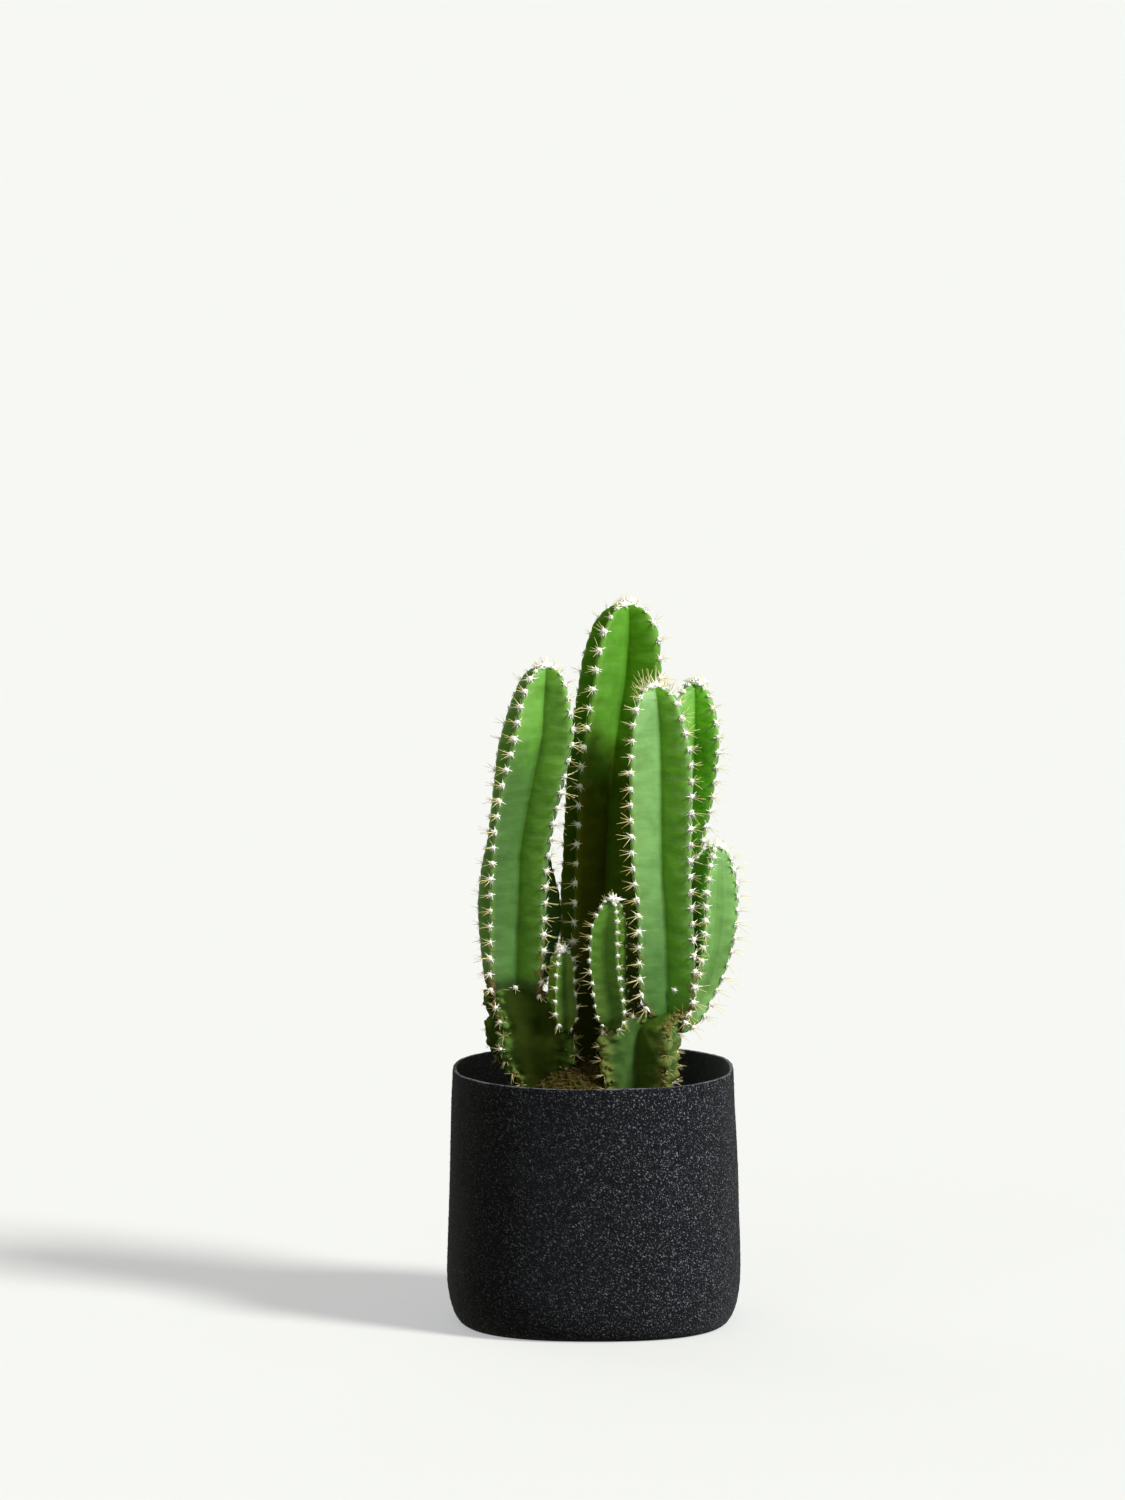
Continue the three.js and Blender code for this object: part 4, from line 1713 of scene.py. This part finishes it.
    def make_tufts(self, models: TuftModels) -> dict[Tuft, list[bpy.types.Object]]:
        """Makes a few models of each sort of tuft.

        Args:
            models: the maker of the models.

        Returns:
            The models of each sort.
        """
        return {
            Tuft.WOOL: [
                models.wool(f"wool_model_{k}", strands=9, tilt=(48, 98), length=(2.0, 3.3))
                for k in range(8)
            ],
            Tuft.SPINES: [
                models.spines(f"spine_model_{k}", 3 + k % 3, tilt=(12, 50), length=(5.2, 8.2), thickness=0.16)
                for k in range(9)
            ],
            Tuft.CROWN_WOOL: [
                models.wool(f"crown_wool_model_{k}", strands=10, tilt=(15, 95), length=(1.6, 2.8))
                for k in range(4)
            ],
            Tuft.CROWN_SPINES: [
                models.spines(f"crown_spine_model_{k}", 4, tilt=(6, 44), length=(3.0, 5.4), thickness=0.14)
                for k in range(4)
            ],
            Tuft.PLUME: [
                models.spines(f"plume_model_{k}", 8, tilt=(4, 50), length=(6.0, 10.0), thickness=0.16)
                for k in range(4)
            ],
            Tuft.DRY: [
                models.spines(f"dry_spine_model_{k}", 7, tilt=(10, 88), length=(3.0, 7.0), thickness=0.17)
                for k in range(6)
            ],
            Tuft.BARK: [
                models.lump(f"bark_model_{k}", radius=0.55 + 0.24 * k, spread=0.3)
                for k in range(5)
            ],
        }

    def plant_tufts(
        self,
        models: TuftModels,
        tufts: dict[Tuft, list[bpy.types.Object]],
        stem: Stem,
    ) -> None:
        """Plants the wool, the spines and the bark of one stem.

        Args:
            models: the maker of the models.
            tufts: the models of each sort.
            stem: the stem.
        """
        chance = models.chance
        woody = stem.habit is Habit.WOODY
        wool_seats = []
        spine_seats = []
        for seat in stem.seats:
            size = self.size_at(stem, seat, chance)
            crowned = seat.height_share > self.CROWN_START and not woody
            if not woody or chance.random() < self.OLD_WOOL_SHARE:
                kind = chance.choice(tufts[Tuft.CROWN_WOOL if crowned else Tuft.WOOL])
                twist = chance.uniform(-18, 18)
                wool_seats.append((kind, seat.matrix(twist, self.wool_size(seat, crowned) * size)))
            if chance.random() < self.SPINY[stem.habit] * seat.vigour:
                kind = chance.choice(tufts[self.fan_of(stem, crowned)])
                spine_seats.append((kind, seat.matrix(chance.uniform(0, 360), size)))
        self.place_piece(models, f"{stem.name}_wool", wool_seats, self.wool_finish)
        finish = self.dry_finish if woody else self.spine_finish
        self.place_piece(models, f"{stem.name}_spines", spine_seats, finish)
        if woody:
            knob_seats = self.bark_seats(models, tufts[Tuft.BARK], stem)
            self.place_piece(models, f"{stem.name}_bark", knob_seats, self.bark_finish)

    def wool_size(self, seat: Seat, crowned: bool) -> float:
        """Size of the wool at a seat: largest on the tip itself.

        Args:
            seat: the seat.
            crowned: whether it belongs to a crown.

        Returns:
            The size as a share of the model's.
        """
        if seat.height_share == 1.0:
            return self.TIP_WOOL
        return self.CROWN_WOOL if crowned else self.RIB_WOOL

    @staticmethod
    def fan_of(stem: Stem, crowned: bool) -> Tuft:
        """The sort of spines that a stem has.

        Args:
            stem: the stem.
            crowned: whether they stand on its crown.

        Returns:
            The sort.
        """
        if crowned:
            return Tuft.PLUME if stem.plume else Tuft.CROWN_SPINES
        return Tuft.DRY if stem.habit is Habit.WOODY else Tuft.SPINES

    def bark_seats(
        self,
        models: TuftModels,
        bark: Sequence[bpy.types.Object],
        stem: Stem,
    ) -> list[tuple[bpy.types.Object, Matrix]]:
        """Places for the knobs of old bark around each tuft.

        Args:
            models: the maker of the models.
            bark: the knob models.
            stem: the stem.

        Returns:
            Each knob's model and placing matrix.
        """
        chance = models.chance
        seats = []
        for seat in stem.seats:
            side = seat.up.cross(seat.out)
            for _ in range(chance.randrange(6, 11)):
                aside = chance.uniform(-2.6, 2.6)
                spot = seat.up * chance.uniform(-3.4, 3.4) + side * aside
                spot += seat.out * (chance.uniform(-0.9, 0.3) - 0.5 * aside * aside)
                turn = Matrix.Rotation(chance.uniform(0, 2 * math.pi), 4, models.way((0, 90)))
                size = Matrix.Scale(chance.uniform(0.4, 1.0), 4)
                seats.append((chance.choice(bark), Matrix.Translation(seat.place + spot * MM) @ turn @ size))
        return seats

    @staticmethod
    def material_of(finish: StemSkin | HairFinish) -> bpy.types.Material:
        """A finish's material, made the first time it is asked for."""
        return bpy.data.materials.get(finish.name) or finish.material()

    def size_at(self, stem: Stem, seat: Seat, chance: random.Random) -> float:
        """Size of a tuft: never quite the same, and smaller on young and on old stems.

        Args:
            stem: the stem.
            seat: the tuft's place.
            chance: the run of chance.

        Returns:
            The size as a share of the model's.
        """
        size = chance.uniform(0.85, 1.12) * seat.vigour
        if stem.habit is Habit.YOUNG and seat.height_share < 1.0:
            size *= self.YOUNG_SIZE
        if stem.habit is Habit.WOODY:
            size *= self.WOODY_SIZE
        return size

    def place_piece(
        self,
        models: TuftModels,
        name: str,
        seats: Sequence[tuple[bpy.types.Object, Matrix]],
        finish: HairFinish,
    ) -> None:
        """Plants one stem's wool, spines or bark.

        Args:
            models: the maker of the models.
            name: the piece's name.
            seats: each copy's model and placing matrix.
            finish: its finish.
        """
        piece = models.plant(name, seats)
        Bench.dress(piece, self.material_of(finish), finish.slot)


@dataclass
class FeltPot:
    """Soft moulded felt pot: flat foot, rounded-square wall and a plain cut rim.

    Attributes:
        height: height of the rim, in millimetres.
        thickness: thickness of the felt, in millimetres.
        foot_squareness: how square the foot is: 2 is round, and more is squarer.
        rim_squareness: how square the rim is.
        profile: height and half width of the outside, in millimetres.
        outer_heights: heights of the rings up the outside, in millimetres.
        inner_heights: heights of the rings down the inside, in millimetres.
        floor_half: half width of the floor inside, in millimetres.
        sides: points on each ring.
        fibre_count: how many loose fibres lie on it.
        finish: the felt's finish.
        fibre_finish: the fibres' finish.
    """

    FIRM_BELOW = 2.0
    SOFT_OVER = 14.0
    RIM_START = 104.0
    RIM_OVER = 9.0
    SUN_RIGHT = 0.82
    SUN_FRONT = 0.57
    REAR_LIGHT = 0.7
    FIBRES_ABOVE = 0.6
    SHOWN_INSIDE_ABOVE = 84.0

    height: float = FELT_HEIGHT
    thickness: float = 1.8
    foot_squareness: float = 2.45
    rim_squareness: float = 2.3
    profile: tuple[tuple[float, float], ...] = (
        (0, 58), (1.2, 60), (4, 61.9), (9, 63.6), (16, 64.7), (24, 65), (54, 64.2), (90, 63.2),
        (FELT_HEIGHT, 62.4),
    )
    outer_heights: tuple[float, ...] = (
        0.35, 1.2, 2.5, 4, 6.5, 9, 12.5, 16, 20, 24, 32, 42, 54, 66, 78, 90, 99, 106, 110.5, 112.4,
    )
    inner_heights: tuple[float, ...] = (112.2, 109, 104, 97, 88, 74, 56, 38, 22, 12, 6, 3.2)
    floor_half: float = 57.5
    sides: int = 80
    fibre_count: int = 12000
    finish: FeltFinish = FeltFinish()
    fibre_finish: HairFinish = HairFinish(
        name="loose_felt_fibres",
        slot="felt",
        foot=(0.05, 0.053, 0.06, 1.0),
        tip=(0.14, 0.145, 0.16, 1.0),
        aged=(0.01, 0.011, 0.014, 1.0),
        roughness=0.7,
    )

    def half_at(self, z: float) -> float:
        """Half width of the outside at a height, in millimetres."""
        heights, halves = zip(*self.profile)
        return float(np.interp(z, heights, halves))

    def reach(self, bearing: float, z: float, half: float) -> float:
        """Distance from the middle to the wall, in millimetres.

        Args:
            bearing: direction in degrees.
            z: height in millimetres.
            half: half width of the wall there.

        Returns:
            The distance.
        """
        share = max(0.0, min(z / self.height, 1.0))
        squareness = self.foot_squareness + (self.rim_squareness - self.foot_squareness) * share
        angle = math.radians(bearing)
        c = abs(math.cos(angle)) ** squareness
        s = abs(math.sin(angle)) ** squareness
        return half / (c + s) ** (1 / squareness)

    def rows(self) -> list[tuple[float, float]]:
        """Height and half width of each ring: up the outside, over the rim and down the inside."""
        rows = [(z, self.half_at(z)) for z in self.outer_heights]
        top = self.half_at(self.height)
        rows += [(self.height - 0.15, top - 0.15), (self.height, top - 0.5), (self.height, top - 1.3)]
        rows += [(self.height - 0.15, top - 1.65)]
        rows += [(z, self.half_at(z) - self.thickness) for z in self.inner_heights]
        return rows + [(self.thickness, self.floor_half)]

    def shape_ring(self, wall: RingWall, z: float, half: float) -> None:
        """Brings the top ring to its rounded square.

        Args:
            wall: the wall.
            z: the ring's height, in millimetres.
            half: half its width, in millimetres.
        """
        wall.reshape(lambda bearing, radius: self.reach(bearing, z, half) * MM / radius)

    def build(self) -> bpy.types.Object:
        """Raises the wall, softens it and covers it with loose fibres."""
        half = self.half_at(0.0)
        wall = RingWall("felt_pot_wall", self.sides, Vector((0, 0, 0)), half * MM)
        self.shape_ring(wall, 0.0, half)
        for z, next_half in self.rows():
            wall.raise_to(Vector((0, 0, z)) * MM, next_half / half)
            self.shape_ring(wall, z, next_half)
            half = next_half
        bpy.ops.mesh.inset(thickness=6 * MM, depth=0.0)
        bpy.ops.mesh.poke()
        piece = wall.finish()
        Bench.edit(piece)
        Bench.choose(piece, lambda vert: vert.co.z < 0.01 * MM)
        bpy.ops.mesh.inset(thickness=3 * MM, depth=0.0)
        Bench.close()
        Bench.subdivide(piece, 2)
        self.soften(piece)
        places = Bench.points(piece)
        ways = Bench.normals(piece)
        # lit_side: how far a point faces the key light or the back light. The felt's finish paints more pale
        # hairs there as a painted highlight.
        sunlit = self.SUN_RIGHT * ways[:, 0] - self.SUN_FRONT * ways[:, 1]
        Bench.carry(piece, "lit_side", np.maximum(sunlit, self.REAR_LIGHT * ways[:, 1]))
        Bench.carry(piece, "inside", ((ways[:, :2] * places[:, :2]).sum(axis=1) < 0).astype(float))
        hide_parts("felt_pot")
        Bench.dress(piece, self.finish.material(), self.finish.slot)
        self.cover(piece)
        return piece

    def soften(self, piece: bpy.types.Object) -> None:
        """Gives the wall its soft dents, its uneven rim and its matted surface, all above a firm foot.

        Args:
            piece: the wall.
        """
        heights = Bench.points(piece)[:, 2] / MM
        Bench.weigh(piece, "above_foot", np.clip((heights - self.FIRM_BELOW) / self.SOFT_OVER, 0.0, 1.0))
        Bench.roughen(piece, size=45 * MM, depth=1.6 * MM, direction="X", group="above_foot", layers=1)
        Bench.roughen(piece, size=38 * MM, depth=1.6 * MM, direction="Y", group="above_foot", layers=1)
        Bench.weigh(piece, "rim", np.clip((heights - self.RIM_START) / self.RIM_OVER, 0.0, 1.0))
        Bench.roughen(piece, size=24 * MM, depth=0.9 * MM, direction="Z", group="rim", layers=1)
        Bench.roughen(piece, size=2.4 * MM, depth=0.35 * MM, group="above_foot")
        Bench.smooth(piece)

    def cover(self, piece: bpy.types.Object) -> None:
        """Lays short pale fibres on the wall, at chance angles.

        Args:
            piece: the wall.
        """
        models = TuftModels(seed=23)
        kinds = [
            models.fibre(f"fibre_model_{k}", length=1.5, thickness=0.08, bend=0.1 * (k - 1.5))
            for k in range(4)
        ]
        lowest = self.FIBRES_ABOVE * MM
        faces = [f for f in piece.data.polygons if f.center.z > lowest and self.shown(f)]
        areas = [face.area for face in faces]
        chosen = models.chance.choices(faces, weights=areas, k=self.fibre_count)
        seats = []
        for face in chosen:
            normal = face.normal.copy()
            along = normal.orthogonal().normalized()
            along.rotate(Matrix.Rotation(models.chance.uniform(0, 2 * math.pi), 3, normal))
            along = (along + normal * models.chance.uniform(-0.03, 0.16)).normalized()
            side = normal.cross(along).normalized()
            lift = along.cross(side)
            turn = Matrix((along, side, lift)).transposed().to_4x4()
            stretch = Matrix.Diagonal((models.chance.uniform(0.45, 1.35), 1.0, 1.0, 1.0))
            corner = piece.data.vertices[models.chance.choice(face.vertices)].co
            spot = face.center.lerp(corner, models.chance.random()) + normal * 0.05 * MM
            seats.append((models.chance.choice(kinds), Matrix.Translation(spot) @ turn @ stretch))
        fibres = models.plant("felt_fibres", seats)
        Bench.dress(fibres, self.fibre_finish.material(), self.fibre_finish.slot)
        models.put_away(kinds)

    def shown(self, face: bpy.types.MeshPolygon) -> bool:
        """True for a face on the outside, or on the inside above the growing pot."""
        outward = face.normal.x * face.center.x + face.normal.y * face.center.y > 0
        return outward or face.center.z > self.SHOWN_INSIDE_ABOVE * MM


@dataclass
class GrowingPot:
    """Thin black plastic pot with a banded rim and drain holes, all in millimetres.

    Attributes:
        rim_radius: outside of the rim's band.
        top_radius: outside of the tapered wall, just below the band.
        mid_radius: outside of the wall at mid height.
        foot_radius: outside of the foot.
        foot_z: height of the foot.
        mid_z: mid height.
        band_z: height of the band's lower edge.
        rim_z: height of the rim.
        wall: thickness of the wall.
        floor: thickness of the floor.
        hole_count: how many drain holes it has.
        hole_circle: how far their middles lie from the pot's middle.
        hole_radius: their radius.
        sides: points on each ring.
        finish: its finish.
    """

    CUT_DEPTH = 6.0

    rim_radius: float = 60.0
    top_radius: float = 57.0
    mid_radius: float = 53.3
    foot_radius: float = 47.0
    foot_z: float = 2.1
    mid_z: float = 53.0
    band_z: float = 83.0
    rim_z: float = 88.0
    wall: float = 1.0
    floor: float = 1.4
    hole_count: int = 6
    hole_circle: float = 32.0
    hole_radius: float = 5.0
    sides: int = 96
    finish: PlasticFinish = PlasticFinish()

    def rows(self) -> list[tuple[float, float]]:
        """Height and radius of each ring, up the outside and down the inside."""
        return [
            (self.foot_z + 0.6, self.foot_radius + 0.05),
            (self.mid_z, self.mid_radius),
            (self.band_z, self.top_radius),
            (self.band_z, self.rim_radius - 0.25),
            (self.band_z + 0.25, self.rim_radius),
            (self.rim_z - 0.35, self.rim_radius),
            (self.rim_z, self.rim_radius - 0.3),
            (self.rim_z, self.rim_radius - self.wall + 0.2),
            (self.rim_z - 0.3, self.rim_radius - self.wall),
            (self.band_z + self.wall + 0.4, self.top_radius - self.wall + 0.3),
            (self.band_z + self.wall - 0.4, self.top_radius - self.wall),
            (self.mid_z, self.mid_radius - self.wall),
            (self.foot_z + self.floor, self.foot_radius - self.wall),
        ]

    def build(self) -> bpy.types.Object:
        """Raises the pot and drills its drain holes."""
        wall = RingWall("growing_pot", self.sides, Vector((0, 0, self.foot_z)) * MM, self.foot_radius * MM)
        radius = self.foot_radius
        for z, next_radius in self.rows():
            wall.raise_to(Vector((0, 0, z)) * MM, next_radius / radius)
            radius = next_radius
        piece = wall.finish()
        for hole in range(self.hole_count):
            self.drill(piece, math.radians(360 / self.hole_count * hole))
        Bench.smooth(piece, 32)
        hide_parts("nursery_pot")
        Bench.dress(piece, self.finish.material(), self.finish.slot)
        return piece

    def drill(self, piece: bpy.types.Object, angle: float) -> None:
        """Cuts one drain hole.

        Args:
            piece: the pot.
            angle: the hole's direction from the middle, in radians.
        """
        Bench.clear()
        spot = (
            self.hole_circle * math.cos(angle) * MM,
            self.hole_circle * math.sin(angle) * MM,
            (self.foot_z + self.floor / 2) * MM,
        )
        size = {"radius": self.hole_radius * MM, "depth": self.CUT_DEPTH * MM}
        bpy.ops.mesh.primitive_cylinder_add(vertices=24, location=spot, **size)
        cutter = bpy.context.object
        Bench.modify(piece, "BOOLEAN", operation="DIFFERENCE", solver="EXACT", object=cutter)
        bpy.data.meshes.remove(cutter.data)


@dataclass
class Soil:
    """Crumbly brown soil, heaped at the foot of the clump.

    Attributes:
        firm_below: height below which it is pressed smooth, in millimetres.
        loosening: height over which it turns loose above that, in millimetres.
        grain: how finely its bed is remade, in millimetres.
        crumb_count: how many loose crumbs lie on it.
        shred_count: how many shreds of coir lie on it.
        finish: the bed's finish.
        crumb_finish: the crumbs' finish.
        shred_finish: the shreds' finish.
    """

    firm_below: float = 83.5
    loosening: float = 1.5
    grain: float = 1.5
    crumb_count: int = 1500
    shred_count: int = 1500
    finish: SoilFinish = SoilFinish()
    crumb_finish: HairFinish = HairFinish(
        name="soil_crumbs",
        slot="soil",
        foot=(0.03, 0.019, 0.001, 1.0),
        tip=(0.05, 0.034, 0.002, 1.0),
        aged=(0.014, 0.01, 0.0006, 1.0),
        roughness=0.97,
    )
    shred_finish: HairFinish = HairFinish(
        name="coir_shreds",
        slot="soil",
        foot=(0.2, 0.14, 0.02, 1.0),
        tip=(0.3, 0.22, 0.03, 1.0),
        aged=(0.05, 0.032, 0.002, 1.0),
        roughness=0.85,
    )

    def build(self) -> bpy.types.Object:
        """Crumbles the bed of soil and scatters crumbs and shreds on it."""
        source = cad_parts["soil"]
        piece = bpy.data.objects.new("soil_bed", source.data.copy())
        bpy.context.scene.collection.objects.link(piece)
        Bench.edit(piece)
        bpy.ops.mesh.remove_doubles(threshold=0.01 * MM)
        Bench.close()
        Bench.modify(piece, "REMESH", mode="VOXEL", voxel_size=self.grain * MM)
        heights = Bench.points(piece)[:, 2] / MM
        Bench.weigh(piece, "top", np.clip((heights - self.firm_below) / self.loosening, 0.0, 1.0))
        Bench.roughen(piece, size=5 * MM, depth=2.6 * MM, group="top", layers=3)
        Bench.smooth(piece)
        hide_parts("soil")
        Bench.dress(piece, self.finish.material(), self.finish.slot)
        self.scatter(piece)
        return piece

    def scatter(self, piece: bpy.types.Object) -> None:
        """Scatters crumbs and shreds over the top.

        Args:
            piece: the bed of soil.
        """
        models = TuftModels(seed=37)
        crumbs = [
            models.lump(f"crumb_model_{k}", radius=0.8 + 0.12 * k, spread=0.25)
            for k in range(6)
        ]
        shreds = [
            models.fibre(f"shred_model_{k}", length=4.2, thickness=0.12, bend=0.5 * (k - 1.5))
            for k in range(4)
        ]
        lowest = self.firm_below * MM
        faces = [f for f in piece.data.polygons if f.normal.z > 0.35 and f.center.z > lowest]
        crumb_seats = []
        for face in models.chance.choices(faces, k=self.crumb_count):
            turn = Matrix.Rotation(models.chance.uniform(0, 2 * math.pi), 4, models.way((0, 90)))
            size = Matrix.Scale(models.chance.uniform(0.45, 1.25), 4)
            crumb_seats.append((models.chance.choice(crumbs), Matrix.Translation(face.center) @ turn @ size))
        shred_seats = []
        for face in models.chance.choices(faces, k=self.shred_count):
            spin = Matrix.Rotation(models.chance.uniform(0, 2 * math.pi), 4, "Z")
            tilt = Matrix.Rotation(models.chance.uniform(-0.5, 0.5), 4, "Y")
            size = Matrix.Scale(models.chance.uniform(0.5, 1.3), 4)
            spot = face.center + Vector((0, 0, 0.5 * MM))
            shred_seats.append((models.chance.choice(shreds), Matrix.Translation(spot) @ spin @ tilt @ size))
        crumb_piece = models.plant("soil_crumbs", crumb_seats)
        Bench.dress(crumb_piece, self.crumb_finish.material(), self.crumb_finish.slot)
        shred_piece = models.plant("coir_shreds", shred_seats)
        Bench.dress(shred_piece, self.shred_finish.material(), self.shred_finish.slot)
        models.put_away([*crumbs, *shreds])


@dataclass(frozen=True)
class Lamp:
    """A far light.

    Attributes:
        name: its name.
        azimuth: where it comes from, in degrees to the viewer's right.
        elevation: how high it stands, in degrees.
        strength: how strong it is.
        width: how wide it looks, in degrees.
        colour: its colour.
    """

    name: str
    azimuth: float
    elevation: float
    strength: float
    width: float
    colour: tuple[float, float, float]

    def hang(self) -> None:
        """Hangs the light."""
        azimuth = math.radians(self.azimuth)
        elevation = math.radians(self.elevation)
        toward = Vector((
            math.sin(azimuth) * math.cos(elevation),
            -math.cos(azimuth) * math.cos(elevation),
            math.sin(elevation),
        ))
        facing = toward.to_track_quat("Z", "Y").to_euler()
        Bench.clear()
        bpy.ops.object.light_add(type="SUN", location=toward * 3, rotation=facing)
        light = bpy.context.object
        light.name = self.name
        light.data.energy = self.strength
        light.data.angle = math.radians(self.width)
        light.data.color = self.colour


@dataclass
class Studio:
    """Pale floor and surround, a soft light from the right, weaker ones front and back, and the camera.

    Attributes:
        reach: radius of the floor, in metres.
        floor_paint: the floor's paint.
        floor_glow: the floor's glow.
        surround_glow: the surround's glow.
        fill: strength of the light that comes from all round.
        fill_colour: its colour.
        key: the main light.
        soft: the wide light from the front.
        back: the wide light from behind.
        aim: the point that the camera looks at, in metres.
        distance: how far from it the camera stands, in metres.
        pitch: how far down it looks, in degrees.
        lens: its focal length, in millimetres.
        film: width of its picture, in millimetres.
    """

    reach: float = 10.0
    floor_paint: Colour = (0.41, 0.41, 0.37, 1.0)
    floor_glow: Colour = (0.385, 0.391, 0.415, 1.0)
    surround_glow: Colour = (0.930, 0.939, 0.896, 1.0)
    fill: float = 0.22
    fill_colour: Colour = (1.0, 0.98, 0.8, 1.0)
    key: Lamp = Lamp(
        name="key_light",
        azimuth=58.0,
        elevation=40.0,
        strength=4.6,
        width=14.0,
        colour=(0.97, 0.985, 1.0),
    )
    soft: Lamp = Lamp(
        name="front_light",
        azimuth=-20.0,
        elevation=25.0,
        strength=0.5,
        width=60.0,
        colour=(1.0, 1.0, 0.85),
    )
    back: Lamp = Lamp(
        name="back_light",
        azimuth=200.0,
        elevation=30.0,
        strength=0.8,
        width=70.0,
        colour=(1.0, 1.0, 1.0),
    )
    aim: Vector = field(default_factory=lambda: Vector((-13.93, 0.0, 255.3)) * MM)
    distance: float = 6.0
    pitch: float = 7.85
    lens: float = 325.6
    film: float = 36.0

    def build(self) -> None:
        """Sets up the stage, the light and the camera."""
        self.build_stage()
        self.build_light()
        self.build_camera()

    def build_stage(self) -> None:
        """Lays the floor and closes it in with an evenly pale surround that only the camera sees."""
        Bench.clear()
        bpy.ops.mesh.primitive_circle_add(vertices=96, radius=self.reach, fill_type="NGON")
        floor = bpy.context.object
        floor.name = "studio_floor"
        floor.data.materials.append(StageFinish("pale_floor", self.floor_paint, self.floor_glow).material())
        floor.visible_diffuse = False
        floor.visible_glossy = False
        Bench.clear()
        bpy.ops.mesh.primitive_uv_sphere_add(segments=48, ring_count=24, radius=0.99 * self.reach)
        surround = bpy.context.object
        surround.name = "studio_surround"
        Bench.edit(surround)
        Bench.choose(surround, lambda vert: vert.co.z < -0.01)
        bpy.ops.mesh.delete(type="VERT")
        bpy.ops.mesh.select_all(action="SELECT")
        bpy.ops.mesh.flip_normals()
        bpy.ops.object.mode_set(mode="OBJECT")
        paint = StageFinish("pale_surround", (0, 0, 0, 1), self.surround_glow)
        surround.data.materials.append(paint.material())
        for hidden_from in ("visible_diffuse", "visible_glossy", "visible_transmission", "visible_shadow"):
            setattr(surround, hidden_from, False)

    def build_light(self) -> None:
        """Hangs the lights and sets an even fill all round."""
        self.key.hang()
        self.soft.hang()
        self.back.hang()
        world = bpy.data.worlds.new("studio_fill")
        world.use_nodes = True
        background = world.node_tree.nodes["Background"]
        background.inputs["Color"].default_value = self.fill_colour
        background.inputs["Strength"].default_value = self.fill
        bpy.context.scene.world = world
        bpy.context.scene.view_settings.view_transform = "Standard"

    def build_camera(self) -> None:
        """Stands the camera where the photograph was taken from."""
        pitch = math.radians(self.pitch)
        place = self.aim + Vector((0.0, -math.cos(pitch), math.sin(pitch))) * self.distance
        Bench.clear()
        bpy.ops.object.camera_add(location=place, rotation=(math.radians(90.0 - self.pitch), 0.0, 0.0))
        camera = bpy.context.object
        camera.name = "studio_camera"
        camera.data.lens = self.lens
        camera.data.sensor_width = self.film
        camera.data.clip_end = 100.0
        bpy.context.scene.camera = camera


def main() -> None:
    """Builds every piece in order; each piece's triangle count is logged as it is dressed."""
    logging.basicConfig(level=logging.INFO, format="%(message)s")
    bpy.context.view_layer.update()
    Studio().build()
    GrowingPot().build()
    Soil().build()
    FeltPot().build()
    Clump().build()


if __name__ == "__main__":
    main()
